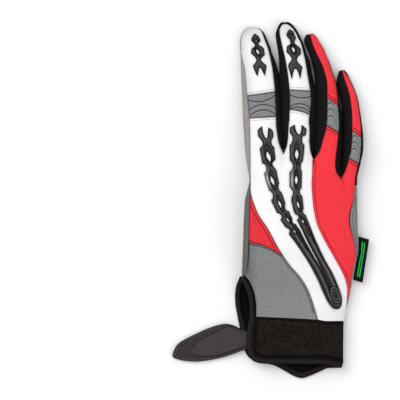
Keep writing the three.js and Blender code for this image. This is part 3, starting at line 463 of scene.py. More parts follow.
# Materials: their colours under plain light, from 0 to 255
def linear(*colour):
    """A colour for the shaders."""
    channels = np.array(colour, float) / 255
    low = channels <= 0.04045
    return [*np.where(low, channels / 12.92, ((channels + 0.055) / 1.055) ** 2.4), 1.0]


class Shader:
    """A principled material with small helpers for its nodes."""

    def __init__(self, name, roughness, specular=0.5):
        self.material = bpy.data.materials.new(name)
        self.material.use_nodes = True
        self.tree = self.material.node_tree
        self.bsdf = self.tree.nodes["Principled BSDF"]
        self.bsdf.inputs["Roughness"].default_value = roughness
        self.bsdf.inputs["Specular IOR Level"].default_value = specular
        self.place = self.tree.nodes.new("ShaderNodeTexCoord")

    def node(self, kind, values=(), **settings):
        made = self.tree.nodes.new(kind)
        for key, value in settings.items():
            setattr(made, key, value)
        for socket, value in dict(values).items():
            if hasattr(value, "is_linked"):
                self.tree.links.new(value, made.inputs[socket])
            else:
                made.inputs[socket].default_value = value
        return made

    def math(self, operation, a, b=0.0, c=0.0):
        return self.node("ShaderNodeMath", {0: a, 1: b, 2: c}, operation=operation).outputs[0]

    def noise(self, size, detail=2.0):
        """Noise with features of about that size in millimetres."""
        values = {"Vector": self.place.outputs["Object"], "Scale": 1 / (size * MM), "Detail": detail}
        return self.node("ShaderNodeTexNoise", values).outputs["Fac"]

    def cells(self, size):
        values = {"Vector": self.place.outputs["Object"], "Scale": 1 / (size * MM)}
        return self.node("ShaderNodeTexVoronoi", values).outputs["Distance"]

    def threads(self, pitch, ratio=1.0):
        """Cloth coordinates counted in threads of that pitch in millimetres."""
        scale = 1 / (pitch * MM)
        values = {"Vector": self.place.outputs["UV"], "Scale": (scale, scale * ratio, 1.0)}
        mapped = self.node("ShaderNodeMapping", values).outputs[0]
        split = self.node("ShaderNodeSeparateXYZ", {0: mapped})
        return split.outputs[0], split.outputs[1]

    def knit(self, pitch):
        """Height of a plain knit: columns of V-shaped loops."""
        across, along = self.threads(pitch, 1.3)
        fold = self.math("PINGPONG", across, 0.5)
        wave = self.math("SINE", self.math("MULTIPLY", self.math("ADD", along, fold), 2 * math.pi))
        return self.math("MULTIPLY_ADD", wave, 0.3, self.math("MULTIPLY", fold, 1.4))

    def weave(self, pitch):
        """Height of a plain weave."""
        across, along = self.threads(pitch)
        over = self.math("SINE", self.math("MULTIPLY", across, 2 * math.pi))
        under = self.math("SINE", self.math("MULTIPLY", along, 2 * math.pi))
        return self.math("MULTIPLY", over, under)

    def colour(self, low, high, factor):
        """Base colour that runs from low to high with the factor, times each point's tone: painted shade
        and painted highlights.
        """
        mixed = self.node("ShaderNodeMix", {"Factor": factor}, data_type="RGBA")
        mixed.inputs[6].default_value = low
        mixed.inputs[7].default_value = high
        tone = self.node("ShaderNodeAttribute", attribute_name="tone")
        toned = self.node("ShaderNodeVectorMath", {0: mixed.outputs[2], 1: tone.outputs["Fac"]},
                          operation="MULTIPLY")
        self.tree.links.new(toned.outputs[0], self.bsdf.inputs["Base Color"])

    def relief(self, *layers):
        """Bump layers: height, strength, distance in millimetres."""
        normal = None
        for height, strength, distance in layers:
            values = {"Height": height, "Strength": strength, "Distance": distance * MM}
            if normal is not None:
                values["Normal"] = normal
            normal = self.node("ShaderNodeBump", values).outputs[0]
        self.tree.links.new(normal, self.bsdf.inputs["Normal"])
        return self.material


def shade(colour, factor):
    """The colour, darker or lighter."""
    return [*(np.array(colour[:3]) * factor), 1.0]


def knitted(name, colour, pitch=0.7, mottle=0.12, roughness=0.9):
    """Knitted cloth of mottled yarn."""
    s = Shader(name, roughness, specular=0.08)
    speck = s.math("MULTIPLY_ADD", s.noise(0.95, 2), 2.8, -0.9)
    s.colour(shade(colour, 1 - mottle), shade(colour, 1 + mottle), speck)
    return s.relief((s.knit(pitch), 0.35, 0.12), (s.noise(1.1, 3), 0.3, 0.25))


def grained(name, colour, roughness, depth, variation, cell=0.7, specular=0.3):
    """Leather or suede with cells of that size in millimetres."""
    s = Shader(name, roughness, specular=specular)
    patch = s.math("ADD", s.math("MULTIPLY", s.noise(9, 3), 0.6), s.math("MULTIPLY", s.cells(cell), 0.4))
    s.colour(shade(colour, 1 - variation), shade(colour, 1 + variation), patch)
    return s.relief((s.cells(cell), 0.4, depth), (s.noise(6, 3), 0.25, 0.3))


def moulded(name, colour, roughness, fine=0.35, specular=0.5):
    """Rubber or plastic with a faint unevenness."""
    s = Shader(name, roughness, specular=specular)
    s.colour(shade(colour, 0.85), shade(colour, 1.2), s.noise(5, 4))
    return s.relief((s.noise(fine, 2), 0.12, 0.05), (s.noise(7, 2), 0.1, 0.2))


def woven(name, colour, pitch=0.55, specular=0.1):
    """Tape or thread."""
    s = Shader(name, 0.75, specular=specular)
    s.colour(shade(colour, 0.75), shade(colour, 1.3), s.noise(1.2, 2))
    return s.relief((s.weave(pitch), 0.5, 0.12), (s.noise(3, 2), 0.2, 0.2))


def brushed(name, low, high):
    """Dull fuzzy cloth between two colours."""
    s = Shader(name, 0.95, specular=0.02)
    s.colour(low, high, s.math("MULTIPLY_ADD", s.noise(1.5, 4), 2.2, -0.6))
    return s.relief((s.noise(0.5, 4), 0.8, 0.5))


WHITE = grained("white_leather", linear(241, 241, 242), 0.5, depth=0.04, variation=0.015)
RED = knitted("red_knit", linear(241, 58, 68), mottle=0.14)
GREY = knitted("grey_knit", linear(132, 133, 134), mottle=0.2)
RIB_GREY = knitted("ribbed_grey", linear(130, 132, 134), pitch=0.6, mottle=0.2)
DARK_GREY = knitted("dark_grey_knit", linear(105, 102, 101), mottle=0.18)
BLACK = knitted("black_stretch", linear(23, 20, 22), pitch=0.5, mottle=0.3, roughness=0.85)
LINING = knitted("black_lining", linear(12, 10, 12), pitch=0.9, mottle=0.3)
SUEDE = grained(
    "palm_suede", linear(155, 150, 146), 0.85, depth=0.1, variation=0.11, cell=0.45, specular=0.1)
CUFF_BLACK = knitted("cuff_neoprene", linear(27, 24, 25), pitch=0.6, mottle=0.25)
LOOP_BASE = brushed("loop_fabric", linear(20, 17, 15), linear(50, 44, 40))
LOOP_FIBRE = brushed("loop_fibres", linear(34, 30, 27), linear(64, 57, 52))
HOOK_BLACK = moulded("hook_fabric", linear(30, 28, 28), 0.6)
TAPE = woven("edge_binding", linear(39, 34, 37), specular=0.03)
STRAP = moulded("strap_rubber", linear(54, 48, 47), 0.6, specular=0.25)
# Glossy rubber with its specular kept low: its highlights are painted into the colour through the tone
# (painted highlights).
GLOSSY = moulded("glossy_rubber", linear(56, 52, 51), 0.33, fine=0.8, specular=0.1)
LABEL_GREEN = woven("label_green", linear(25, 200, 80))
LABEL_BLACK = woven("label_cloth", linear(14, 16, 15))
THREAD_BLACK = woven("black_thread", linear(7, 6, 8), 0.3, specular=0.0)
THREAD_PALE = woven("pale_thread", linear(150, 150, 166), 0.3)
THREAD_RED = woven("dark_red_thread", linear(58, 8, 14), 0.3, specular=0.0)


# Stitches
class Stitches:
    """Rows of short threads that lie along paths on the cloth."""

    AROUND, ALONG = 6, 4

    def __init__(self):
        self.points, self.faces, self.count = [], [], 0
        turn = np.arange(self.AROUND) / self.AROUND * 2 * math.pi
        rings = np.linspace(-0.92, 0.92, self.ALONG)
        ring = np.stack([np.cos(turn), np.sin(turn)], -1)
        reach = np.sqrt(1 - rings ** 2)
        body = [[along, *(r * corner)] for along, r in zip(rings, reach) for corner in ring]
        self.template = np.array([[-1, 0, 0], *body, [1, 0, 0]])
        last = len(self.template) - 1
        for j in range(self.AROUND):
            k = (j + 1) % self.AROUND
            self.faces.append([0, 1 + k, 1 + j])
            self.faces.append([last, last - self.AROUND + j, last - self.AROUND + k])
            for i in range(self.ALONG - 1):
                a = 1 + i * self.AROUND
                b = a + self.AROUND
                self.faces.append([a + j, a + k, b + k, b + j])

    def row(self, points, normals, pitch, length, radius, lift=0.1):
        """Evenly spaced stitches along a path of points, raised by lift."""
        gaps = np.linalg.norm(np.diff(points, axis=0), axis=1)
        far = np.concatenate([[0], np.cumsum(gaps)])
        count = max(2, int(far[-1] / pitch))
        at = (np.arange(count) + 0.5) * far[-1] / count
        centre, before, after, up = (
            np.stack([np.interp(at + shift, far, values[:, k]) for k in range(3)], -1)
            for shift, values in ((0, points), (-0.4, points), (0.4, points), (0, normals)))
        along, up = unit(after - before), unit(up)
        aside = np.cross(up, along)
        shape = self.template * [length / 2, radius, radius]
        placed = (
            (centre + up * lift)[:, None] + shape[None, :, :1] * along[:, None]
            + shape[None, :, 1:2] * aside[:, None] + shape[None, :, 2:] * up[:, None])
        self.points.append(placed.reshape(-1, 3))
        self.count += count

    def build(self, name, material, slot):
        size = len(self.template)
        faces = [[corner + i * size for corner in face] for i in range(self.count) for face in self.faces]
        fit(make_mesh(name, np.concatenate(self.points), faces, [material], sharp=80), slot)


def seam_path(seam, start, end, offset):
    """A path beside a seam of the back: x is the seam's x at y plus the offset."""
    y = steps(start, end, 160)
    x = seam(y) + offset
    return on_surface(x, at_wrist(x, y))


# Fingers: their back seams and the slanted edges of their knuckle panels (left end, right end).
# Arch is how far the lower edge bows up, rim the black cloth seen round the tip, soft the sides
# without the dark painted shade of a seam. Bows are the grooves of the knuckle panel: height at the
# left, middle and right, bottom 0 to top 1. Shine is the painted highlight on the ridges beside them.
WHITE_FINGER = dict(cloth=WHITE, slot="white_leather", tip_shade=0.2, shine=0.25)
RED_FINGER = dict(
    cloth=RED, slot="red_knit", tip_shade=0, shine=0.55, arch=0, rim=0,
    bows=[(0.98, 1.02, 0.62), (0.74, 0.86, 0.36), (0.48, 0.64, 0.10), (0.20, 0.40, -0.15)])
FINGERS = {
    "index": dict(
        WHITE_FINGER, part=INDEX, left=WHITE_LEFT, right=INDEX_RIGHT,
        upper=(78.2, 81.2), lower=(61.2, 62.6), arch=0, rim=0, soft=["left"],
        bows=[(0.81, 0.67, 0.87), (0.33, 0.53, 0.29), (0.07, 0.30, 0.04)]),
    "middle": dict(
        WHITE_FINGER, part=MIDDLE, left=MIDDLE_LEFT, right=MIDDLE_RIGHT,
        upper=(82.6, 81.8), lower=(67.8, 63.9), arch=0.8, rim=1.7, soft=[],
        bows=[(0.75, 0.63, 0.78), (0.11, 0.34, 0.22), (0.02, 0.16, 0.08)]),
    "ring": dict(
        RED_FINGER, part=RING, left=RING_LEFT, right=RING_RIGHT,
        upper=(76.6, 71.4), lower=(56.2, 50.4), soft=["right"]),
    "little": dict(
        RED_FINGER, part=LITTLE, left=LITTLE_LEFT, right=RED_RIGHT,
        upper=(51.9, 47.4), lower=(31.4, 27.2), soft=[]),
}


def closing(part, seam, rim):
    """Round a tip the seams close in with the finger's outline, a rim's width inside it."""
    def at(y):
        x, _, wide, _ = section(part, y)
        half = TIP_SEAM * wide
        if rim:
            t = np.clip((y - part.round) / (part.end - rim - part.round), 0, 1)
            narrow = (part.right(y) - part.left(y)) / 2 - rim * smooth(0, 6, y - part.round)
            half = narrow * (1 - t ** TIP_SHAPE["plan"]) ** (1 / TIP_SHAPE["plan"])
        return np.where(y < part.round, seam(y), np.clip(seam(y), x - half, x + half))
    return at


for finger in FINGERS.values():
    for side in ("left", "right"):
        finger[side] = closing(finger["part"], finger[side], finger["rim"])


def either(limit, above, below):
    """One seam above that Y and another below it."""
    return lambda y: np.where(y > limit, above(y), below(y))


def panel_points(left, right, rows, columns, slant):
    """A panel between two seams; slant(row, t) moves its rows along Y, t from left to right."""
    t = steps(0, 1, columns)[None, :]
    row = rows[:, None]
    y = row + slant(row, t)
    x = mix(left(y) + HALF_GAP, right(y) - HALF_GAP, t)
    y = at_wrist(x, y)
    points, normals = on_surface(x, y)
    return points, normals, t, row


def layer(points, normals, height, thickness):
    """Outer and inner points of a layer that stands out by that height."""
    outer = points + normals * np.asarray(height)[..., None]
    return outer, outer - normals * thickness


def above_floor(points, height, margin):
    """The height, without what would swell down to the floor."""
    return np.where(points[..., 2] < margin, np.minimum(height, 0), height)


def side_by_side(columns):
    """Pairs of points and normals, put together as two grids."""
    return [np.stack(part, 1) for part in zip(*columns)]


def sew(name, node, slot, cloth, points, normals, height, thickness, tone=1.0):
    """One lined panel that stands for a node."""
    sheet = Sheet().grid(*layer(points, normals, height, thickness), tone=tone)
    fit(sheet.build(name, [cloth, LINING]), slot, node)


def fingertip(name, finger):
    """The panel over a fingertip, a little greyer towards its end and its soft left side: painted shade."""
    base = min(finger["upper"])
    soft = finger["soft"] and [*finger["soft"], "last"]
    rows = tip_rows(finger["part"], base, 72, finger["rim"] + (0.03 if soft else 0.15))
    points, normals, _, _ = panel_points(
        finger["left"], finger["right"], rows, 34,
        lambda row, t: (mix(*finger["upper"], t) - base + HALF_GAP) * (1 - smooth(0, 25, row - base)))
    edge = from_edges(points, [side for side in ALL_EDGES if side not in soft])
    height = turned_edge(edge, depth=0.5) + waves(points[..., 0], points[..., 1], 3, 22, 0.1)
    tone = 1 - finger["tip_shade"] * bump(from_edges(points, ("last",)), 12)
    if "left" in soft:
        tone = tone - 0.2 * bump(from_edges(points, ("left",)), 5)
    sew(f"{name}_tip_panel_cloth", f"{name}_tip_panel", finger["slot"], finger["cloth"],
        points, normals, height, LEATHER, tone * panel_tone(points, soft))


def panel_edge(finger, edge, t):
    """Y of the upper or lower edge of a knuckle panel, t from left to right."""
    arch = finger["arch"] if edge == "lower" else 0
    return mix(*finger[edge], t) + 4 * arch * t * (1 - t)


def bow_lines(t, row, bows, length):
    """Grooves between the raised bows of a knuckle panel of that length: 1 in a groove."""
    groove = np.zeros(np.broadcast(t, row).shape)
    ridge = groove
    across = 2 * t - 1
    for left, middle, right in bows:
        bow = middle + (right - left) / 2 * across + ((left + right) / 2 - middle) * across ** 2
        groove = np.maximum(groove, bump((row - bow) * length, 0.48))
        ridge = np.maximum(ridge, bump((row - bow) * length + 0.95, 0.45))
    return groove, ridge


def knuckle(name, finger):
    """A padded panel with bowed grooves."""
    def slant(row, t):
        lower, upper = (panel_edge(finger, edge, t) for edge in ("lower", "upper"))
        return mix(lower + HALF_GAP, upper - HALF_GAP, row) - row

    points, normals, t, row = panel_points(finger["left"], finger["right"], steps(0, 1, 84), 44, slant)
    length = np.mean(finger["upper"]) - np.mean(finger["lower"])
    groove, ridge = bow_lines(t, row, finger["bows"], length)
    height = PROUD + turned_edge(from_edges(points), depth=0.8, width=0.8) - 0.6 * groove + 0.2 * ridge
    height = height + 0.35 * np.sin(math.pi * row) * np.sin(math.pi * t)
    # Painted shade in the grooves and a painted highlight on the ridges beside them.
    tone = panel_tone(points, finger["soft"]) * (1 - 0.82 * groove) * (1 + finger["shine"] * ridge)
    sew(f"{name}_knuckle_panel_ribbed", f"{name}_knuckle_panel", "ribbed_grey", RIB_GREY,
        points, normals, height, RIBBED, tone)


for finger_name, finger in FINGERS.items():
    fingertip(finger_name, finger)
    knuckle(finger_name, finger)


# Rubber rails and fingertip grips. Outlines: y, x of the left and right edges, with crisp corners.
INNER_LEFT = [
    (55.2, -6.8), (52.1, -9.8), (47.6, -9.5), (46.0, -8.2), (43.9, -6.6), (41.9, -6.1), (40.5, -6.6),
    (38.1, -8.4), (31.5, -7.1), (27.4, -6.6), (26.2, -4.1), (23.6, -3.4), (21.4, -3.6), (19.4, -5.0),
    (13.5, -3.6), (9.0, -1.9), (7.1, -1.5), (5.9, 0.4), (3.4, 1.5), (1.1, 1.2), (-0.4, 0.0), (-9.8, 4.5),
    (-10.1, 6.0), (-11.3, 7.6), (-13.1, 7.9), (-15.0, 7.0), (-20.6, 10.9), (-21.0, 12.3), (-21.8, 13.5),
    (-23.2, 13.9), (-24.8, 13.3), (-25.9, 13.5), (-30, 16.7), (-37.5, 22.1), (-45, 27.0), (-52.5, 31.5),
    (-60, 35.4), (-67.5, 38.6), (-75, 42.0), (-78, 43.9), (-80.3, 45.6), (-81.5, 47.2),
]
INNER_RIGHT = [
    (55.2, -6.6), (54.2, -1.9), (51.8, 0.6), (49.1, 1.3), (46.7, 1.1), (44.6, -0.1), (42.8, -0.1),
    (40.5, 0.6), (39.2, 2.0), (30.4, 3.1), (29.3, 2.6), (28.1, 1.1), (26.2, 0.9), (24.4, 1.9), (22.1, 3.9),
    (18.8, 4.5), (12.4, 5.8), (9.8, 5.2), (7.1, 6.0), (5.3, 7.9), (-2.2, 10.5), (-4.5, 10.0), (-6.8, 10.5),
    (-7.9, 11.6), (-8.3, 13.1), (-13.9, 15.6), (-16.5, 15.7), (-17.6, 16.9), (-18.0, 18.2), (-22.5, 21.4),
    (-30, 25.0), (-37.5, 29.3), (-45, 33.7), (-51, 36.9), (-65, 43.2), (-76, 46.4), (-81.5, 47.5),
]
OUTER_LEFT = [
    (56.2, 17.8), (54.0, 14.5), (50.2, 14.5), (48.4, 15.7), (46.5, 16.5), (43.9, 16.1), (42.0, 15.4),
    (41.2, 14.3), (29.6, 14.0), (27.4, 15.6), (25.5, 16.3), (23.2, 15.7), (21.8, 15.0), (20.6, 13.7),
    (9.8, 13.7), (8.2, 15.0), (6.2, 16.2), (3.8, 16.0), (2.2, 15.1), (-0.8, 15.0), (-4.5, 15.7),
    (-9.0, 16.9), (-10.9, 18.0), (-11.1, 19.1), (-12.0, 20.2), (-13.5, 20.4), (-15.0, 19.1), (-22.5, 22.9),
    (-30, 26.4), (-37.5, 30.4), (-45, 34.6), (-51, 37.3), (-65, 43.6), (-76, 46.8), (-81.5, 47.6),
]
OUTER_RIGHT = [
    (56.2, 17.9), (55.6, 23.4), (52.9, 26.0), (48.4, 25.4), (47.6, 23.4), (46.5, 22.9), (44.2, 22.8),
    (42.2, 23.4), (40.9, 24.5), (34.8, 24.2), (28.9, 23.4), (27.1, 22.0), (23.5, 21.8), (20.9, 22.7),
    (9.2, 22.4), (7.5, 21.1), (5.2, 21.1), (3.8, 21.9), (3.0, 22.9), (-6.0, 24.0), (-7.9, 23.3),
    (-9.0, 23.4), (-10.5, 24.4), (-11.3, 25.5), (-22.5, 30.0), (-30, 33.0), (-37.5, 36.5), (-45, 40.2),
    (-52.5, 44.5), (-60, 48.0), (-67.5, 51.0), (-71.2, 52.2), (-75, 52.4), (-77.3, 51.8), (-79.5, 50.3),
    (-81.0, 48.8), (-81.5, 47.9),
]
INDEX_GRIP_LEFT = [
    (124.5, -12.4), (121.9, -14.2), (119.6, -14.8), (118.1, -13.5), (116.4, -12.0), (114.8, -12.4),
    (113.6, -14.3), (110.2, -14.9), (108.8, -13.9), (107.6, -12.4), (105.8, -11.2), (103.9, -10.9),
    (100.5, -13.5), (95.2, -11.6), (92.4, -10.2),
]
INDEX_GRIP_RIGHT = [
    (124.5, -12.2), (122.6, -9.4), (119.4, -8.0), (117.4, -9.4), (116.2, -9.5), (114.8, -7.1),
    (113.2, -5.6), (108.8, -4.9), (106.1, -7.5), (104.6, -7.6), (102.8, -6.0), (100.5, -3.5),
    (95.0, -4.4), (92.4, -4.7),
]
MIDDLE_GRIP_LEFT = [
    (127.7, 13.6), (126.0, 12.4), (123.8, 11.6), (122.2, 12.1), (120.4, 13.9), (117.8, 14.6),
    (116.6, 14.2), (115.1, 12.1), (110.6, 11.9), (109.1, 13.5), (106.9, 15.0), (105.0, 15.7),
    (102.0, 13.5), (99.8, 13.1), (94.5, 14.6), (90.2, 15.7),
]
MIDDLE_GRIP_RIGHT = [
    (127.7, 13.8), (126.0, 16.5), (121.1, 18.4), (118.5, 17.4), (117.4, 17.3), (115.1, 19.9),
    (113.2, 21.7), (109.1, 22.1), (107.2, 19.9), (105.0, 19.1), (102.8, 20.2), (99.4, 23.2),
    (93.0, 22.1), (90.2, 21.6),
]
# Slots through the rubber and the engraved ovals round them: x, y, half length, half width, lean
INNER_SLOTS = [(-2.0, 32.3, 4.1, 1.35, -0.3), (0.9, 14.3, 3.4, 1.1, -0.35), (6.3, -3.0, 2.9, 0.8, -0.38),
               (12.2, -14.8, 1.6, 0.6, -0.6), (17.3, -23.4, 1.3, 0.55, -0.55)]
INNER_OVALS = [(-1.9, 33.4, 7.7, 2.9, -0.18), (1.3, 14.6, 6.8, 2.1, -0.25), (6.8, -2.5, 5.5, 1.7, -0.34),
               (12.8, -14.1, 3.4, 1.35, -0.55), (18.1, -23.1, 3.3, 1.25, -0.5),
               (21.8, -29.3, 2.2, 0.9, -0.6), (25.4, -34.8, 2.0, 0.8, -0.6)]
OUTER_SLOTS = [(19.1, 34.1, 3.9, 1.25, 0.0), (18.6, 14.9, 3.4, 1.05, 0.0), (19.9, -3.5, 2.8, 0.75, -0.27),
               (23.5, -16.0, 1.4, 0.6, -0.5)]
OUTER_OVALS = [(19.4, 34.3, 7.4, 2.1, 0.0), (18.9, 15.4, 6.5, 1.9, 0.0), (20.5, -3.0, 5.3, 1.6, -0.2),
               (24.2, -15.7, 3.4, 1.25, -0.5), (27.8, -24.2, 2.5, 1.0, -0.5), (31.1, -30.0, 1.8, 0.8, -0.5)]
INDEX_GRIP_SLOTS = [(-11.2, 119.6, 0.7, 0.5, 0.0), (-10.0, 111.1, 2.1, 1.0, -0.35)]
MIDDLE_GRIP_SLOTS = [(14.5, 123.2, 0.7, 0.5, 0.0), (16.7, 112.7, 2.2, 1.1, -0.3)]
# Open jaws at an end: y, x of the jaws' inner sides
INNER_JAW = [(45.9, -3.8, -3.7), (46.4, -4.4, -3.1), (47.3, -4.9, -2.9), (49.5, -5.8, -2.7),
             (51.8, -6.3, -2.5), (54.0, -6.6, -2.1), (55.2, -6.7, -1.7)]
OUTER_JAW = [(48.9, 20.8, 20.9), (49.3, 20.2, 21.4), (49.9, 19.7, 21.7), (51.8, 18.8, 22.2),
             (54.0, 18.2, 22.5), (56.2, 17.9, 22.7)]
INDEX_JAW = [(99.2, -8.2, -8.1), (98.5, -9.0, -7.4), (96.0, -9.4, -6.3), (93.5, -9.9, -4.9),
             (92.4, -10.1, -4.8)]
MIDDLE_JAW = [(98.4, 18.1, 18.2), (97.8, 17.4, 19.2), (94.5, 16.5, 20.6), (92.0, 16.0, 21.3),
              (90.2, 15.8, 21.5)]


def from_points(points, marks):
    """Distance of each point from the nearest mark, seen from above."""
    flat = points.reshape(-1, 2)
    batch = 1500
    reach = [
        np.sqrt(((flat[i:i + batch, None] - marks[None]) ** 2).sum(-1).min(1))
        for i in range(0, len(flat), batch)
    ]
    return np.concatenate(reach).reshape(points.shape[:-1])


class Moulding:
    """Flat rubber with holes: two strips that part round each slot and between the jaws.

    Left and right are the tables of its outline, slots and jaw those of its openings."""

    COLUMNS = 14
    THIN = 0.15  # where a strip is narrower there is no rubber

    def __init__(self, left, right, slots, jaw, step=0.3):
        top, bottom = max(left)[0], min(left)[0]
        left, right = self.left, self.right = line(left), line(right)
        y = steps(top, bottom, int((top - bottom) / step))
        marks = [(y1, (a + b) / 2) for y1, a, b in jaw]
        for x1, y1, long, _, lean in slots:
            marks += [(y1 - long, x1 - lean * long), (y1 + long, x1 + lean * long)]
        middle = np.clip(line(marks)(y), left(y) + 0.25, right(y) - 0.25)
        jaw_y = np.array([row[0] for row in jaw])
        between = (y >= jaw_y.min()) & (y <= jaw_y.max())
        half = np.where(between, line([(y1, (b - a) / 2) for y1, a, b in jaw])(y), 0)
        for _, y1, long, wide, _ in slots:
            half = np.maximum(half, wide * np.clip(1 - np.abs((y - y1) / long) ** 1.7, 0, 1))
        inner_left = np.maximum(middle - half, left(y))
        inner_right = np.minimum(middle + half, right(y))
        crowd = (1 - np.cos(steps(0, math.pi, self.COLUMNS))) / 2
        self.strips = [
            np.stack(np.broadcast_arrays(mix(a[:, None], b[:, None], crowd[None]), y[:, None]), -1)
            for a, b in ((left(y), inner_left), (inner_right, right(y)))]
        open_rows = half > 0
        solid = [strip[strip[:, -1, 0] - strip[:, 0, 0] > self.THIN] for strip in self.strips]
        self.rim = np.concatenate([
            solid[0][:, 0], solid[1][:, -1], solid[0][0], solid[1][0], solid[0][-1], solid[1][-1]])
        self.bore = np.concatenate([self.strips[0][open_rows, -1], self.strips[1][open_rows, 0]])

    def build(self, name, relief):
        """Relief gives the height and the tone at x, y, distance from an edge, share across."""
        sheet = Sheet()
        for strip in self.strips:
            wide = strip[:, -1, 0] - strip[:, 0, 0] > self.THIN
            keep = np.repeat((wide[1:] & wide[:-1])[:, None], self.COLUMNS, 1)
            x, y = strip[..., 0], strip[..., 1]
            points, normals = on_surface(x, y)
            edge = from_points(strip, np.concatenate([self.rim, self.bore]))
            share = (x - self.left(y)) / np.maximum(self.right(y) - self.left(y), 0.1)
            top, tone = relief(x, y, edge, share)
            outer = points + normals * (GAP + top)[..., None]
            sheet.grid(outer, points + normals * 0.6 * GAP, keep=keep, tone=tone)
        return sheet.build(name, [GLOSSY], sharp=38)


def oval_lines(x, y, ovals):
    """How deep inside the engraved ovals a point lies, and the engraved line round them."""
    inside, drawn = np.zeros_like(x), np.zeros_like(x)
    for x1, y1, long, wide, lean in ovals:
        across = (x - x1 - lean * (y - y1)) / wide
        reach = np.sqrt(across ** 2 + np.abs((y - y1) / long) ** 1.6)
        drawn = np.maximum(drawn, bump((reach - 1) * wide, 0.42))
        inside = np.maximum(inside, smooth(0, 0.35, 1 - reach))
    return inside, drawn


def rounded(edge, width, low):
    """A quarter round that rises from low at the edge to 1 at that width inside it."""
    return low + (1 - low) * np.sqrt(1 - (1 - np.clip(edge / width, 0, 1)) ** 2)


def link_finish(edge, inside, drawn):
    """Relief and tone of a flat link with engraved ovals: a dark outline of painted shade, painted shade in
    and inside the ovals, and a painted highlight on the bevel.
    """
    height = rounded(edge, 1.2, 0.4) - 0.16 * inside - 0.16 * drawn
    outline = 1 - 0.97 * bump(edge, 1.1)
    bevel_highlight = 1.1 + 1.3 * bump(edge - 1.6, 0.33)
    return height, outline * bevel_highlight * (1 - 0.9 * drawn) * (1 - 0.5 * inside)


GLINT_TONE = 14  # how bright the streak of light on the second link is


def rail_relief(ovals):
    """Links above, the second with a painted streak of light; a bar with an off-centre ridge below, painted
    lighter on the ridge and darker on its right flank and edges.
    """
    def relief(x, y, edge, share):
        bar = 1 - smooth(-27, -10, y)
        inside, drawn = oval_lines(x, y, ovals)
        link, link_tone = link_finish(edge, inside, drawn)
        glint = bump(share - 0.16, 0.09) * bump(y - 14.5, 6) * smooth(0.4, 1.1, edge)
        link_tone = mix(link_tone, GLINT_TONE, 0.8 * glint)
        ridge = mix(0.5, 0.62, smooth(-40, -55, y))
        fall = np.abs(share - ridge) / np.where(share < ridge, ridge, 1 - ridge)
        bar_height = np.minimum(rounded(edge, 0.9, 0.35), 1 - 0.38 * fall)
        # Painted light and shade on the bar: the left flank a little darker, the right one much darker, a
        # painted highlight on the ridge, painted shade along the edges and in the engraving.
        flank_shade = np.where(share < ridge, 0.85, mix(0.6, 0.35, smooth(0, 0.4, share - ridge)))
        shine = bump((share - ridge) * 8.0, 0.8)
        engraved = (1 - 0.9 * drawn) * (1 - 0.6 * inside)
        bar_tone = (flank_shade + 2.8 * shine) * (1 - 0.95 * bump(edge, 1.1)) * engraved
        return RAIL * mix(link, bar_height, bar), mix(link_tone, bar_tone, bar)
    return relief


def grip_relief(ovals):
    """A single link."""
    def relief(x, y, edge, share):
        inside, drawn = oval_lines(x, y, ovals)
        height, tone = link_finish(edge, inside, drawn)
        return GRIP * height, 0.85 * tone
    return relief


INNER = Moulding(INNER_LEFT, INNER_RIGHT, INNER_SLOTS, INNER_JAW)
OUTER = Moulding(OUTER_LEFT, OUTER_RIGHT, OUTER_SLOTS, OUTER_JAW)
INDEX_GRIP = Moulding(INDEX_GRIP_LEFT, INDEX_GRIP_RIGHT, INDEX_GRIP_SLOTS, INDEX_JAW, step=0.25)
MIDDLE_GRIP = Moulding(MIDDLE_GRIP_LEFT, MIDDLE_GRIP_RIGHT, MIDDLE_GRIP_SLOTS, MIDDLE_JAW, step=0.25)
MOULDINGS = {
    "back_rail_inner": (INNER, rail_relief(INNER_OVALS)),
    "back_rail_outer": (OUTER, rail_relief(OUTER_OVALS)),
    "index_tip_grip": (INDEX_GRIP, grip_relief([(-10.0, 111.2, 3.6, 1.9, -0.3)])),
    "middle_tip_grip": (MIDDLE_GRIP, grip_relief([(16.7, 112.8, 3.7, 2.0, -0.25)])),
}
for node, (moulding, relief) in MOULDINGS.items():
    fit(moulding.build(f"{node}_moulded", relief), "glossy_rubber", node)
RAIL_RIMS = np.concatenate([INNER.rim, OUTER.rim])


def end_oval(long, wide, drop, ring, turn):
    """Points and normals of an oval on the back at the rails' end, ring 1 being its outline."""
    middle, tilt = (47.7, -70.6 - drop), math.radians(15)
    along, across = long * ring * np.cos(turn), wide * ring * np.sin(turn)
    x = middle[0] - along * math.sin(tilt) + across * math.cos(tilt)
    y = middle[1] + along * math.cos(tilt) + across * math.sin(tilt)
    return on_surface(x, y)


def rail_end():
    """Where the two rails meet: a round dark end and on it a plain oval with rings."""
    ring = steps(0, 1, 40)[:, None]
    turn = steps(0, 2 * math.pi, 84)[None, :]
    points, normals = end_oval(9.6, 4.9, 2.0, ring, turn)
    top = (RAIL * (0.35 + 0.6 * np.sqrt(1 - ring ** 6)) + 0 * turn)[..., None]
    # A dark rim of painted shade at the end's edge and a painted highlight ring inside it.
    tone = (0.75 - 0.6 * bump(ring - 1, 0.13) + 0.7 * bump(ring - 0.8, 0.06)) + 0 * turn
    sheet = Sheet().grid(points + normals * top, points + normals * 0.5 * GAP, tone=tone)

    points, normals = end_oval(7.2, 3.7, 0, ring, turn)
    grooves = bump(ring - 0.97, 0.09) + bump(ring - 0.64, 0.075) + bump(ring - 0.3, 0.08)
    dome = 0.45 + 0.25 * np.sqrt(1 - np.clip(ring, 0, 1) ** 6)
    top = (RAIL + 0.15 + dome - 0.35 * grooves + 0 * turn)[..., None]
    # Painted shade in the grooves and painted highlights on the rings between them.
    shine = bump(ring - 0.81, 0.07) + 0.7 * bump(ring - 0.47, 0.07)
    tone = (0.9 + 2.6 * shine) * (1 - 0.95 * grooves) + 0 * turn
    sheet.grid(points + normals * top, points + normals * (RAIL - 1.2), tone=tone)
    fit(sheet.build("rail_end_oval", [GLOSSY], sharp=60), "glossy_rubber")


rail_end()


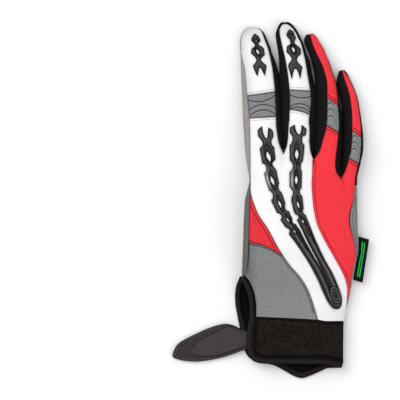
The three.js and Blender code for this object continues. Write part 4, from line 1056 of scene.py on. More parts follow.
# Back panels
def lobed_panel(name, slot, cloth, thickness, lobes, split, crotch, below, relief):
    """A panel of the back with two lobes that part at a crotch and run up two fingers.

    Relief gives the height, how dark the painted shade in the seams is, and the painted shadow at x, y."""
    sheet = Sheet()
    apex = crotch[1] - GAP
    for side, (finger, left, right, inner_seam) in enumerate(lobes):
        top = max(finger["lower"])
        rows = np.concatenate([
            steps(top, crotch[1] + 1.5, int((top - crotch[1]) / 0.9)), [crotch[1] + 0.7, apex], below])
        sign = 1 if side else -1

        def seam(y):
            return np.where(y > apex + 0.01, inner_seam(y) + sign * HALF_GAP, split(y))

        edges = (seam, lambda y: right(y) - HALF_GAP) if side else (lambda y: left(y) + HALF_GAP, seam)
        t = steps(0, 1, 38)[None, :]
        row = rows[:, None]
        y = row + (panel_edge(finger, "lower", t) - top - HALF_GAP) * smooth(crotch[1], top, row)
        x = mix(edges[0](y), edges[1](y), t)
        y = at_wrist(x, y)
        points, normals = on_surface(x, y)
        outside = from_edges(points, ("first", "right" if side else "left"))
        beside = from_edges(points, ("left" if side else "right",))
        beside = np.where(row > apex + 0.01, beside, np.hypot(x - crotch[0], y - crotch[1]))
        edge = np.minimum(outside, beside)
        rise, dark, tone = relief(x, y)
        height = turned_edge(edge) + rise
        sheet.grid(*layer(points, normals, height, thickness), tone=tone * seam_tone(edge, dark))
    fit(sheet.build(f"{name}_cloth", [cloth, LINING]), slot, name)


def rail_shadow(x, y):
    """Tone of the leather: dark along the rails, less so where the gap between them is open."""
    far = from_points(np.stack([x, y], -1), RAIL_RIMS)
    wrist = 1 - 0.07 * smooth(-76, -86, y)
    open_groove = (x > INNER.right(y)) & (x < OUTER.left(y)) & (y > -45)
    depth = np.where(open_groove, 0.2, 0.85)
    return wrist * (1 - depth * bump(far, mix(0.4, 0.8, smooth(-49, -55, y))))


def white_relief(x, y):
    """Leather raised round the rails and a little uneven."""
    far = from_points(np.stack([x, y], -1), RAIL_RIMS[::2])
    height = 0.55 * (1 - smooth(2.6, 5.6, far)) - 0.35 * bump(far, 0.9) + waves(x, y, 11, 38, 0.16)
    beside_red = (x > WHITE_RIGHT(y) - 3) & (y < RED_SEAM_TOP)
    # How dark the painted seam shade is: faint along the index finger's soft left side and beside the red
    # panel.
    dark = np.where(x < -8, mix(0.35, 0.85, smooth(14, 20, y)), np.where(beside_red, 0.75, 0.35))
    return height, dark, rail_shadow(x, y)


def red_relief(x, y):
    """Knit that is a little uneven and fills the valley at the crotch of its two fingers."""
    beside_white = (x < WHITE_RIGHT(y) + 3) & (y < RED_SEAM_TOP)
    valley = 2.3 * bump(x - 52.7, 1.3) * smooth(4, 13, y) * (1 - smooth(13.5, 16.5, y))
    # The second value is how dark the painted seam shade is, fainter beside the white panel.
    return waves(x, y, 5, 30, 0.18) + valley, np.where(beside_white, 0.7, 0.35), 1.0


def white_side(y):
    """The leather's right edge: below the tail of the red panel it reaches round to the outline."""
    edge = WHITE_RIGHT(y) + 1.6 * smooth(-76, -80, y)
    return np.where(y > CROTCH["middle_ring"][1], MIDDLE_RIGHT(y), np.minimum(edge, HAND_RIGHT(y)))


index, middle, ring, little = (FINGERS[name] for name in ("index", "middle", "ring", "little"))
lobed_panel(
    "white_back_panel", "white_leather", WHITE, LEATHER,
    [(index, index["left"], None, INDEX_RIGHT), (middle, None, white_side, MIDDLE_LEFT)],
    WHITE_SPLIT, CROTCH["index_middle"],
    np.concatenate([steps(34, WRIST_START, 100), steps(WRIST_START, WRIST_END, 6)[1:]]), white_relief)
red_left = either(CROTCH["middle_ring"][1], RING_LEFT, WHITE_RIGHT)
lobed_panel(
    "red_back_panel", "red_knit", RED, STRETCH + HALF_GAP,
    [(ring, red_left, None, RING_RIGHT), (little, None, little["right"], LITTLE_LEFT)],
    RED_SPLIT, CROTCH["ring_little"], steps(15.5, -77.3, 90), red_relief)

GREY_TOP = track([(0, -30), (0.15, -32.2), (0.43, -33.4), (0.73, -36.4), (1, -42)])  # columns: t, y


def side_panels():
    """The red triangle beside the thumb, and the grey panel between it and the wrist."""
    points, normals, _, _ = panel_points(
        SIDE_SEAM, WHITE_LEFT, steps(0, 1, 46), 30,
        lambda row, t: mix(2.2, GREY_TOP(t) + HALF_GAP, row) - row)
    edge = from_edges(points)
    height = turned_edge(edge) + waves(points[..., 0], points[..., 1], 8, 18, 0.1)
    sew("red_side_panel_cloth", "red_side_panel", "red_knit", RED,
        points, normals, height, LEATHER, 0.85 * seam_tone(edge))

    points, normals, _, _ = panel_points(
        either(SLIT_TOP, SIDE_SEAM, SLIT_EDGE), WHITE_LEFT, steps(0, 1, 84), 62,
        lambda row, t: mix(GREY_TOP(t) - HALF_GAP, WRIST_END, row) - row)
    x, y = points[..., 0], points[..., 1]
    fold = -0.5 * bump(x + 17.4, 0.8) * smooth(-58, -52, y) * smooth(-28, -34, y)
    sewn = ("first", "left", "right")
    height = turned_edge(from_edges(points, sewn)) + waves(x, y, 14, 34, 0.3) + fold
    # Painted shade in the fold and over the left part, which curves away from the light.
    tone = panel_tone(points, ["left"], sewn) * (1 + fold * 0.6)
    tone = tone * (1 - 0.28 * smooth(-8, -17, x))
    sew("grey_wrist_panel_cloth", "grey_wrist_panel", "grey_knit", GREY,
        points, normals, height, LEATHER, tone)


side_panels()


# Sides of the fingers and of the hand
def fourchette(name, a, b, crotch, touch, bulge):
    """Black cloth down one finger, round the crotch and up the next.

    Up to the Y of touch it bulges, so that the two fingers meet."""
    sheet = Sheet()
    crotch_x, crotch_y = crotch
    down = steps(0, 1, 16)
    for side, finger in ((1, a), (-1, b)):
        seam = finger["right"] if side > 0 else finger["left"]
        y = tip_rows(finger["part"], crotch_y + 0.3, 110, 0.15 if finger["rim"] else 0.5)[:, None]
        sink = SINK * (1 - smooth(crotch_y + 4, crotch_y + 22, y))
        points, normals = on_side(
            finger["part"], side, lambda at: seam(at) + side * HALF_GAP, y, down[None], sink)
        folds = waves(points[..., 1], points[..., 2] * 0.7, 21 + side, 16, 0.22)
        closed = smooth(crotch_y, crotch_y + 6, y) * (1 - smooth(touch - 8, touch + 2, y))
        folds = folds + bulge * closed * np.sin(math.pi * down[None])
        height = -0.4 * bump(from_edges(points, ("left", "right", "last")), 0.8)
        height = height + folds * smooth(crotch_y + 1, crotch_y + 8, y)
        outer, inner = layer(points, normals, height, STRETCH)
        ends = [surface(crotch_x, crotch_y, face) - face * SINK for face in (1, -1)]
        base = np.stack(np.broadcast_arrays(crotch_x, crotch_y, mix(*ends, down)), -1)[None]
        outer = np.concatenate([base, outer])
        inner = np.concatenate([base - [0, STRETCH, 0], inner])
        uv = outer[..., 1:]
        order = slice(None) if side > 0 else slice(None, None, -1)
        sheet.grid(outer[order], inner[order], uv=uv[order])
    fit(sheet.build(f"{name}_cloth", [BLACK, LINING]), "black_stretch", name)


fourchette("fourchette_index_middle", index, middle, CROTCH["index_middle"], 97, 0.8)
fourchette("fourchette_middle_ring", middle, ring, CROTCH["middle_ring"], 88, 1.0)
fourchette("fourchette_ring_little", ring, little, CROTCH["ring_little"], 70, 0.5)


def outside(seam, side):
    """The seam moved a little outwards, where a side starts."""
    return lambda y: seam(y) + side * 1.5 * HALF_GAP


def side_panel(name, slot, cloth, part, side, seam, rows, down, thickness, tone=1.0):
    """A panel round the side of a finger or of the hand."""
    points, normals = on_side(part, side, seam, rows[:, None], down[None])
    height = turned_edge(from_edges(points), depth=0.4)
    height = height + waves(points[..., 1], points[..., 2], 31, 20, 0.12)
    outer, inner = layer(points, normals, height, thickness)
    sheet = Sheet().grid(outer, inner, uv=outer[..., 1:], tone=tone)
    fit(sheet.build(f"{name}_cloth", [cloth, LINING]), slot, name)


side_panel("fourchette_little_side", "black_stretch", BLACK, LITTLE, 1, outside(little["right"], 1),
           tip_rows(LITTLE, SIDE_TOP + GAP, 96, 0.5), steps(0, 1, 16), STRETCH)
side_panel("little_side_panel", "grey_knit", GREY, LITTLE, 1, outside(RED_RIGHT, 1),
           steps(SIDE_TOP, SIDE_BOTTOM, 66), steps(0, 0.47, 14), LEATHER)
thumb_side_rows = steps(THUMB_WEB + 3 * GAP, SLIT_TOP, 80)
side_panel("thumb_side_panel", "dark_grey_knit", DARK_GREY, INDEX, -1, outside(SIDE_SEAM, -1),
           thumb_side_rows, steps(0, 1, 20), LEATHER,
           tone=1 - 0.85 * smooth(THUMB_WEB - 6.5, THUMB_WEB - 4, thumb_side_rows)[:, None])


# Palm: columns 0-1 wrap the index finger's outer side and 8-9 the little finger's. Columns 1-2,
# 3-4, 5-6 and 7-8 are the undersides of the fingers; 2-3, 4-5 and 6-7 lie between two fingers.
PALM_LEFT = track([(-57.5, -20.6), (-62, -22.3), (-66, -23.5), (-72, -24.0), (-78, -23.6), (-88, -21.8)])
UNDER_INSET = 2  # degrees between a finger's side and its underside
THUMB_HOLE = {"bottom": -76, "top": -36, "share": 0.72}  # its rows, and its share of the sleeve's section
THUMB_BASE = -30  # where the thumb sleeve's straight part starts
PARTS = [INDEX, MIDDLE, RING, LITTLE]
PER_LANE = 12


def under_x(part, t, y):
    """X across a finger's underside, t from left to right."""
    x, _, wide, _ = section(part, y)
    first = 180 + SEAM_ANGLE + (0 if part is INDEX else UNDER_INSET)
    last = 360 - SEAM_ANGLE - UNDER_INSET
    return x + wide * math.cos(math.radians(mix(first, last, t)))


def lane_x(column, y):
    """X of a column on the fingers."""
    lane = min(int(column), 7)
    t = column - lane
    if lane % 2:
        return under_x(PARTS[(lane - 1) // 2], t, y)
    return mix(under_x(PARTS[lane // 2 - 1], 1, y), under_x(PARTS[lane // 2], 0, y), t)


def palm_x(column, y):
    """X of a column; below the thumb's web the columns spread evenly over the palm."""
    left, right, here = (lane_x(c, THUMB_WEB) for c in (1, 8, column))
    share = (here - left) / (right - left)
    edge = np.where(y < SLIT_TOP, PALM_LEFT(y), under_x(INDEX, 0, y) + 3 * GAP)
    low = mix(edge, under_x(LITTLE, 1, y), share)
    return np.where(y > THUMB_WEB - 0.01, lane_x(column, y), low)


def palm_floor(x, y):
    """Height of the underside, level towards the free edge at the slit."""
    level = mix(-20, -10, smooth(-84, -94, y))
    return np.maximum(0, surface(np.maximum(x, level), y, -1))


def palm_column(column, rows):
    """Points and normals down one column."""
    if column < 1:
        return on_side(INDEX, -1, outside(index["left"], -1), rows, column)
    if column > 8:
        y = np.where(rows > WRIST_START, rows, at_wrist(HAND_RIGHT(rows), rows))
        return on_side(LITTLE, 1, outside(RED_RIGHT, 1), y, 9 - column)
    x = palm_x(column, rows)
    points, normals = on_surface(x, at_wrist(x, rows), -1)
    flat = smooth(SLIT_TOP + 4, SLIT_TOP - 6, rows)
    points[:, 2] = mix(points[:, 2], palm_floor(x, points[:, 1]), flat)
    return points, normals


def palm_relief(points, normals):
    """Soft creases where the palm and the fingers bend."""
    x, y = points[..., 0], points[..., 1]
    crease = sum(-0.5 * bump(y - at - 0.12 * x, 1.4) for at in (8, -22)) * smooth(-14, 0, x)
    low = np.clip(-normals[..., 2:], 0, 1)[..., 0]
    height = (waves(x, y, 41, 24, 0.25) + crease) * smooth(0.2, 0.8, low)
    return above_floor(points, height, 1.2)


def palm_grid(sheet, rows, columns, keep=None):
    """Adds a part of the palm; keep chooses its cells by row and column."""
    points, normals = side_by_side(palm_column(column, rows) for column in columns)
    outer, inner = layer(points, normals, palm_relief(points, normals), LEATHER)
    cells = None
    if keep is not None:
        mid_rows = (rows[1:, None] + rows[:-1, None]) / 2
        mid_columns = (columns[None, 1:] + columns[None, :-1]) / 2
        cells = np.broadcast_to(keep(mid_rows, mid_columns), (len(rows) - 1, len(columns) - 1))
    # Painted shade: the cloth seen in the slit is made nearly black, as it lies in the slit's shadow.
    slit_shade = (columns[None, :] < 1.02) & (rows[:, None] < SLIT_TOP + 1)
    sheet.grid(outer, inner, keep=cells, tone=np.where(slit_shade, 0.06, 1.0))


def lanes(start, end):
    """Finely spaced columns from start to end."""
    return steps(start, end, round((end - start) * PER_LANE))


def palm():
    """The palm with the undersides of three fingers as one sheet, the index finger's as another."""
    sheet, index_sheet = Sheet(), Sheet()
    split, index_split = (CROTCH[name][1] - GAP for name in ("middle_ring", "index_middle"))

    def kept(y, column):
        """All but the hole inside the thumb sleeve's mouth and the side under the little finger."""
        x = np.stack([palm_x(min(c, 8), y[:, 0]) for c in column[0]], 1)
        thumb_x, thumb_z, wide, high = section(THUMB, float(THUMB_BASE))
        z = surface(x, y, -1) - 2 * GAP
        inside = ((x - thumb_x) / wide) ** 2 + ((z - thumb_z) / high) ** 2 < THUMB_HOLE["share"]
        in_hole = inside & (column < 5)
        return np.where(column > 8.5, y < SIDE_BOTTOM, np.where(column > 8, y < SIDE_TOP, ~in_hole))

    marks = [WRIST_END, WRIST_START, THUMB_HOLE["bottom"], THUMB_HOLE["top"], -6, SIDE_TOP, THUMB_WEB]
    low = [steps(*span) for span in zip(marks, marks[1:], (6, 5, 18, 24, 11, 5))]
    palm_grid(sheet, np.unique(np.round(np.concatenate(low), 6)), lanes(1, 9), kept)
    palm_grid(sheet, steps(THUMB_WEB, split, 10), lanes(0, 6))
    palm_grid(sheet, steps(split, index_split, 4), lanes(0, 4))
    palm_grid(index_sheet, tip_rows(INDEX, index_split, 80, 0.03), lanes(0, 2))
    for part, first, lane in ((MIDDLE, index_split, 3), (RING, split, 5), (LITTLE, THUMB_WEB, 7)):
        palm_grid(sheet, tip_rows(part, first, 80, 1.2), lanes(lane, lane + 1))
    fit(sheet.build("palm_panel_suede", [SUEDE, LINING]), "palm_suede", "palm_panel")
    fit(index_sheet.build("palm_index_suede", [SUEDE, LINING]), "palm_suede")


palm()


# Thumb sleeve: its mouth follows the sloping palm
def mouth(x, z):
    """Y where the palm has that height, found by halving."""
    low, high = np.full_like(x, -80.0), np.full_like(x, -38.0)
    for _ in range(30):
        middle_y = (low + high) / 2
        above = surface(x, middle_y, -1) - 2 * GAP > z
        high = np.where(above, middle_y, high)
        low = np.where(above, low, middle_y)
    return low


def thumb_point(row, turn):
    """A point of the sleeve: row 0 to 1 its mouth, 1 to 2 the thumb, turn 0 to 1 round it."""
    row, turn = np.broadcast_arrays(row, turn)
    y = np.where(row < 1, THUMB_BASE, mix(THUMB_BASE, THUMB.end - 0.15, np.sin((row - 1) * math.pi / 2)))
    x, z, wide, high = section(THUMB, y)
    x = x + wide * np.cos(turn * 2 * math.pi)
    z = z + high * np.sin(turn * 2 * math.pi)
    return np.stack([x, np.where(row < 1, mix(mouth(x, z), THUMB_BASE, row), y), z], -1)


def thumb_sleeve():
    """The tucked thumb, with a seam along its left side."""
    row = np.concatenate([steps(0, 1, 24), steps(1, 1.98, 52)[1:]])[:, None]
    turn = steps(0, 1, 72)[None, :]
    step = 0.001
    points = thumb_point(row, turn)
    along = thumb_point(row + step, turn) - thumb_point(np.maximum(0, row - step), turn)
    around = thumb_point(row, turn + step) - thumb_point(row, turn - step)
    normals = unit(np.cross(along, around))
    height = waves(points[..., 1], points[..., 0], 51, 18, 0.2) - 0.5 * bump(turn - 0.5, 0.006)
    height = above_floor(points, height, 1.5)
    height = np.where(turn == 1, height[:, :1], height)
    sew("thumb_sleeve_suede", "thumb_sleeve", "palm_suede", SUEDE, points, normals, height, LEATHER)


thumb_sleeve()


# Cuff: outlines of its two layers, their left edges (y, x) and bottom edges (x, y)
BACK_BOTTOM = track([(-15, -121), (-7, -122.8), (0, -123.2), (36, -123.2), (48, -125.2), (54, -126)])
PALM_BOTTOM = track([
    (-20, -115), (-15, -119.5), (-6, -122.5), (0.7, -123.3), (10.5, -128.6), (18, -132.8), (23, -134.2),
    (29.2, -132.4), (41, -127.5), (47, -126), (54, -126),
])
BACK_CUFF_LEFT = track([(-87, -12.4), (-97, -14.4), (-112, -14.4), (-116, -12.6), (-119, -9.4)])
PALM_CUFF_LEFT = track([(-87, -21.8), (-97, -19.8), (-109, -17.6), (-120, -14.2)])
HEM = 3.0  # from the cuff's outline to the edge of a layer, under the binding
CLOSE = 1.2  # how much closer the palm's layer comes to the palm
CUFF_MIDDLE = -105  # Y halfway down the cuff


def cuff_layer(name, left, bottom, side, end, seed):
    """The back's or the palm's layer; past 1 its columns turn round the cuff's right side to end."""
    hem, close = (HEM, 0) if side > 0 else (1.25 * HEM, CLOSE)
    columns = np.concatenate([steps(0, 1, 64), steps(1, end, 12)[1:]])
    pairs = []
    for across in columns:
        guess = mix(left(CUFF_MIDDLE), LITTLE.right(CUFF_MIDDLE) - 2, min(across, 1))
        y = mix(CUFF_EDGE(guess) + close, bottom(guess) + hem, steps(0, 1, 34))
        if across > 1:
            turn = across - 1 if side > 0 else 2 - across
            pairs.append(on_side(LITTLE, 1, outside(RED_RIGHT, 1), y, turn))
        else:
            right = RED_RIGHT(y) + HALF_GAP if side > 0 else under_x(LITTLE, 1, y)
            pairs.append(on_surface(mix(left(y), right, across), y, side))
    points, normals = side_by_side(pairs)
    height = above_floor(points, waves(points[..., 0], points[..., 1], seed, 26, 0.25), 1.5)
    if side < 0:
        low = np.minimum(points[..., 2], palm_floor(points[..., 0], points[..., 1]))
        points[..., 2] = np.where(columns > 1, points[..., 2], low)
    sew(f"{name}_cloth", name, "cuff_neoprene", CUFF_BLACK, points, normals, height, NEOPRENE)


cuff_layer("cuff_back", BACK_CUFF_LEFT, BACK_BOTTOM, 1, 1.42, 61)
cuff_layer("cuff_palm", PALM_CUFF_LEFT, PALM_BOTTOM, -1, 1.44, 62)

# Loop patch: its sides and its distance from the cuff's top edge and from the other edges
PATCH = {"left": -12, "right": 53.2, "top": 0.8, "inset": 3.0}


def patch_points(down, across):
    """Points and normals under the loop patch, down and across from 0 to 1."""
    guess = mix(PATCH["left"], PATCH["right"], across)
    y = mix(CUFF_EDGE(guess) - PATCH["top"], BACK_BOTTOM(guess) + HEM + PATCH["inset"], down)
    x = mix(BACK_CUFF_LEFT(y) + PATCH["inset"], PATCH["right"], across)
    return on_surface(x, y)


def loop_patch():
    """The patch's cloth, thin and dark at its edge."""
    points, normals = patch_points(steps(0, 1, 60)[:, None], steps(0, 1, 110)[None, :])
    edge = from_edges(points)
    height = LOOP + GAP - 0.5 * bump(edge, 0.8) + waves(points[..., 0], points[..., 1], 71, 9, 0.12)
    sheet = Sheet().grid(*layer(points, normals, height, LOOP), tone=1 - 0.9 * bump(edge, 0.9))
    fit(sheet.build("cuff_loop_patch_fabric", [LOOP_BASE]), "loop_fabric", "cuff_loop_patch")


def tubes(paths, radius):
    """Points and faces of thin three-sided tubes along many paths of equal length."""
    sides = 3
    count, length = paths.shape[:2]
    along = unit(np.gradient(paths, axis=1))
    helper = np.where(np.abs(along[..., 2:]) < 0.8, [0.0, 0.0, 1.0], [1.0, 0.0, 0.0])
    a = unit(np.cross(along, helper))
    b = np.cross(along, a)
    turn = (np.arange(sides) / sides * 2 * math.pi)[:, None]
    ring = paths[:, :, None] + radius * np.cos(turn) * a[:, :, None] + radius * np.sin(turn) * b[:, :, None]
    at = np.arange(count * length * sides).reshape(count, length, sides)
    after = np.roll(at, -1, axis=2)
    walls = np.stack([at[:, :-1], after[:, :-1], after[:, 1:], at[:, 1:]], -1).reshape(-1, 4)
    caps = [*at[:, 0, ::-1].tolist(), *at[:, -1].tolist()]
    return ring.reshape(-1, 3), [*walls.tolist(), *caps]


def loop_fibres():
    """Small standing loops of thread all over the patch."""
    count = 4200
    rng = np.random.default_rng(7)
    down, across = rng.uniform(0.05, 0.95, count), rng.uniform(0.025, 0.98, count)
    points, normals = patch_points(down, across)
    heading = rng.uniform(0, 2 * math.pi, count)
    lean = np.stack([np.cos(heading), np.sin(heading), np.zeros(count)], -1)
    wide, tall = rng.uniform(0.35, 0.8, (2, count))
    bend = np.linspace(-1, 1, 6)[None, :, None]
    path = (
        points[:, None] + normals[:, None] * (LOOP + GAP - 0.1 + tall[:, None, None] * (1 - bend ** 2))
        + lean[:, None] * wide[:, None, None] * bend)
    ring, faces = tubes(path, 0.09)
    tone = rng.choice([0.4, 0.8, 1.4, 2.2], count, p=[0.35, 0.3, 0.2, 0.15])
    tone = np.repeat(tone, len(ring) // count)
    fit(make_mesh("cuff_loop_fibres", ring, faces, [LOOP_FIBRE], sharp=180, tone=tone), "loop_fabric")


loop_patch()
loop_fibres()


# Bound edges of the slit and the cuff
def smooth_path(corners):
    """Evenly spaced points of a smooth curve through corners on the plan."""
    corners = np.array(corners, float)
    far = np.concatenate([[0], np.cumsum(np.linalg.norm(np.diff(corners, axis=0), axis=1) ** 0.5)])
    fine = np.linspace(0, far[-1], 1200)
    curve = np.stack([track(list(zip(far, corners[:, k])))(fine) for k in (0, 1)], -1)
    length = np.concatenate([[0], np.cumsum(np.linalg.norm(np.diff(curve, axis=0), axis=1))])
    even = np.linspace(0, length[-1], 260)
    return np.stack([np.interp(even, length, curve[:, k]) for k in (0, 1)], -1)


BACK_EDGE = smooth_path([
    (-21.2, -57.6), (-20.0, -60.0), (-17.6, -64.5), (-15.3, -71), (-14.3, -78), (-14.0, -86), (-15.0, -92),
    (-15.9, -98), (-16.0, -108), (-14.8, -115.5), (-12.4, -119), (-8, -120.6), (0, -121.1),
    (20, -121.1), (36, -121.2), (44, -122.2), (49.5, -123.2), (53.4, -124.2),
])
PALM_EDGE = smooth_path([
    (-21.4, -57.8), (-22.8, -61.5), (-24.3, -66), (-24.9, -72), (-24.6, -78), (-23.6, -84), (-22.5, -90),
    (-20.9, -97.5), (-18.7, -109), (-15.6, -116.5), (-9, -120.2), (-2, -121.4), (4, -122.9),
    (11.6, -127), (18.6, -130.8), (23, -132.1), (28.2, -130.7), (36, -127.4), (43, -124.6), (53.2, -124.2),
])
HALF_BINDING = BINDING["width"] / 2
SEWN = 2.1  # how far inside the tape's middle its stitches lie
FLAT_FROM = 49  # X past which the back's tape no longer drops with the cuff's side


def inward(path):
    """Directions square to the path on the plan, into the cuff."""
    along = unit(np.gradient(path, axis=0))
    return np.stack([-along[:, 1], along[:, 0]], -1)


def binding(name, path, place, widen):
    """Folded tape along a path; on the cuff itself it reaches further in by widen."""
    across = np.sin(steps(-math.pi / 2, math.pi / 2, 16))
    extra = widen * smooth(-84, -96, path[:, 1])
    offsets = HALF_BINDING * across[None, :] + extra[:, None] * (across[None, :] + 1)
    rows = path[:, None] + inward(path)[:, None] * offsets[..., None]
    outer, inner = place(rows[..., 0], rows[..., 1], np.sqrt(1 - across ** 2)[None, :])
    far = np.linspace(0, len(path) * 0.8, len(path))[:, None]
    uv = np.stack(np.broadcast_arrays(far, offsets), -1)
    sewn = bump(offsets - SEWN, 0.5) * np.minimum(extra[:, None], 1)
    inner_rim = bump(HALF_BINDING + 2 * extra[:, None] - offsets, 0.8)
    tone = (1 - 0.9 * inner_rim) * (1 - 0.8 * bump(offsets + HALF_BINDING, 0.5)) * (1 - 0.35 * sewn)
    sheet = Sheet().grid(outer, inner, uv=uv, tone=tone)
    fit(sheet.build(f"{name}_tape", [TAPE], sharp=70), "edge_binding", name)


def back_binding(x, y, swell):
    """The tape's outside and inside on the back of the cuff; swell is 1 in its middle."""
    points, normals = on_surface(np.minimum(x, FLAT_FROM), y)
    points[..., 0] = x
    lift = 0.1 + 0.75 * swell
    return (points + normals * lift[..., None],
            points + normals * (lift - BINDING["height"] + 1 - swell)[..., None])


def palm_binding(x, y, swell):
    """The same on the palm's layer, which it wraps from below."""
    bottom = palm_floor(x, y)
    rim = RIM * (1 - swell)
    return (np.stack([x, y, bottom + rim], -1), np.stack([x, y, bottom + BINDING["height"] - rim], -1))


binding("cuff_binding_back", BACK_EDGE, back_binding, 0.9)
binding("cuff_binding_palm", PALM_EDGE, palm_binding, 0.4)


# Strap tab, hook pad under it, and the side label
TAB_TOP = track([
    (-74, -116.0), (-73, -113.4), (-70.5, -109), (-68, -106.8), (-60.7, -102.8), (-53, -99.1),
    (-45.7, -96), (-38, -93.7), (-33.7, -93.2), (-30, -93.7), (-22.5, -96.7), (-18, -98.2), (-6, -99.8),
])
TAB_BOTTOM = track([
    (-74, -117.6), (-73, -118.8), (-69.7, -120), (-64.5, -121.1), (-57, -121.7), (-49.5, -121.1),
    (-38, -118.9), (-27, -115.5), (-18, -112.1), (-6, -109.5),
])
TAB_TIP, TAB_ROOT = -74, -8  # X of its ends
TAB_HEIGHT = track([(-40, HOOK + GAP), (-31, 3.4), (-16, 3.4), (-12, 2.4)])
# The groove round the smooth face of the tab: x, y
TAB_FACE = smooth_path([
    (-16, -98.9), (-24, -96.9), (-29, -95.4), (-32.3, -94.7), (-36, -96.4), (-42, -99.6), (-49.5, -103.2),
    (-55, -107.3), (-60.4, -112.2), (-60.9, -113.6), (-60.2, -115.2), (-56, -117.2), (-49.5, -118.0),
    (-42, -117.6), (-38, -116.6), (-27, -113.1), (-16, -109.6),
])


def inside_face(x, y):
    """1 inside the groove, 0 outside."""
    turning_y = -112.9
    upper = TAB_FACE[TAB_FACE[:, 1] >= turning_y]
    lower = TAB_FACE[TAB_FACE[:, 1] < turning_y]
    top, bottom = (np.interp(x, *part[np.argsort(part[:, 0])].T) for part in (upper, lower))
    return ((y < top) & (y > bottom) & (x > -60.7)).astype(float)


def dashes(x, y):
    """1 on short slanted dashes that are laid like bricks."""
    lean = math.radians(62)
    along = (x * math.cos(lean) + y * math.sin(lean)) / 2.4
    across = (-x * math.sin(lean) + y * math.cos(lean)) / 2.1 + 0.5 * np.floor(along)
    return (np.abs(along % 1 - 0.5) < 0.33) & (np.abs(across % 1 - 0.5) < 0.25)


def strap_tab():
    """A tongue with a smooth face inside a groove and slanted dashes round it."""
    x, t = np.broadcast_arrays(
        mix(TAB_TIP, TAB_ROOT, 1 - np.cos(steps(0, math.pi / 2, 230)))[:, None],
        (1 - np.cos(steps(0, math.pi, 110)))[None, :] / 2)
    y = mix(TAB_BOTTOM(x), TAB_TOP(x), t)
    plan = np.stack([x, y], -1)
    rim = np.concatenate([plan[:, 0], plan[:, -1], plan[0]])
    edge = from_points(plan, rim)
    from_groove = from_points(plan, TAB_FACE)
    groove = bump(from_groove, 0.4)
    face = inside_face(x, y)
    clear = smooth(2.4, 2.9, edge) * smooth(0.9, 1.3, from_groove) * smooth(-27, -31, x)
    knurl = dashes(x, y) * (1 - face) * clear
    hem = bump(edge - 2.5, 0.35) * (x < -20)
    height = rounded(edge, 1.2, 0) - 1 - 0.5 * groove - 0.4 * knurl - 0.25 * hem
    base = TAB_HEIGHT(x)
    outer = np.stack([x, y, base + TAB + height - 0.25], -1)
    inner = np.stack([x, y, base], -1)
    # Painted shade in the groove, the dashes and the hem line and along the edge; a painted highlight on
    # the bevel just inside the edge.
    tone = (1 - 0.85 * groove) * (1 - 0.85 * knurl) * (1 - 0.7 * bump(edge, 0.7)) * (1 - 0.3 * hem)
    tone = tone * (1 + 0.5 * bump(edge - 1.3, 0.4))
    sheet = Sheet().grid(outer, inner, tone=tone * mix(1.05, 1.0, face))
    fit(sheet.build("strap_tab_moulded", [STRAP], sharp=40), "strap_rubber", "strap_tab")


def under_tab(x, t):
    """Y on the hook pad, which keeps a margin to the tab's edges."""
    margin = 3
    return mix(TAB_BOTTOM(x) + margin, TAB_TOP(x) - margin, t)


def hook_pad():
    """Tape with rows of short hooks that point down."""
    x, t = np.broadcast_arrays(steps(-70.5, -41, 60)[:, None], steps(0, 1, 24)[None, :])
    y = under_tab(x, t)
    base = HOOK - 0.5
    sheet = Sheet().grid(*(np.stack([x, y, np.full_like(x, level)], -1) for level in (HOOK, base)))
    fit(sheet.build("strap_hook_tape", [HOOK_BLACK]), "hook_fabric", "strap_hook_pad")
    hook_x, hook_t = (v.reshape(-1) for v in np.meshgrid(steps(-69, -42, 26), steps(0.06, 0.94, 16)))
    bend = np.linspace(0, 1, 6)[None, :]
    path = np.stack(np.broadcast_arrays(
        hook_x[:, None] + 0.35 * np.sin(bend * 3.6), under_tab(hook_x, hook_t)[:, None],
        base + 0.1 - 0.85 * np.sin(bend * 2.4)), -1)
    ring, faces = tubes(path, 0.1)
    fit(make_mesh("strap_hooks", ring, faces, [HOOK_BLACK], sharp=180), "hook_fabric")


# Side label: its height, the Y of its sewn edge, how far it slants, the X of its free edge
FLAP = {"height": 9, "top": -27.4, "bottom": -60, "slope": 2.2, "right": (73.9, 69)}


def flap_points(down, across):
    """Middle of the label's flap, a little curled."""
    y = mix(FLAP["top"], FLAP["bottom"], down) - FLAP["slope"] * across
    x = mix(LITTLE.right(y) + 1.3 * GAP, mix(*FLAP["right"], down), across)
    curl = 0.35 * np.sin(down * 5) * across - 0.5 * across ** 2
    return np.stack(np.broadcast_arrays(x, y, FLAP["height"] + curl), -1)


def side_label():
    """A black woven flap with two plain green stripes."""
    down, across = steps(0, 1, 60)[:, None], steps(0, 1, 22)[None, :]
    points = flap_points(down, across)
    half_thickness = np.array([0, 0, LABEL / 2])
    edge = from_edges(points)
    rim = 0.2 * bump(edge - 0.9, 0.4)[..., None] * [0, 0, 1]
    sheet = Sheet().grid(points + half_thickness + rim - [0, 0, 0.1], points - half_thickness)
    fit(sheet.build("side_label_cloth", [LABEL_BLACK]), "label_cloth", "side_label")
    for number, (start, end) in enumerate(((0.34, 0.44), (0.56, 0.66))):
        stripe = flap_points(steps(0.1, 0.9, 50)[:, None], steps(start, end, 4)[None, :])
        top = stripe + half_thickness + [0, 0, 0.06]
        sheet = Sheet().grid(top, top - [0, 0, 0.25])
        fit(sheet.build(f"side_label_stripe_{number + 1}", [LABEL_GREEN]), "label_cloth")


strap_tab()
hook_pad()
side_label()


# Stitching
def knuckle_rows(fingers, offset):
    """Paths beside the slanted edges of the fingers' knuckle panels, offset along Y."""
    t = steps(0, 1, 40)
    for finger in fingers:
        for edge, sign in (("upper", 1), ("lower", -1)):
            y = panel_edge(finger, edge, t) + offset * sign
            yield on_surface(mix(finger["left"](y) + 0.8, finger["right"](y) - 0.8, t), y)


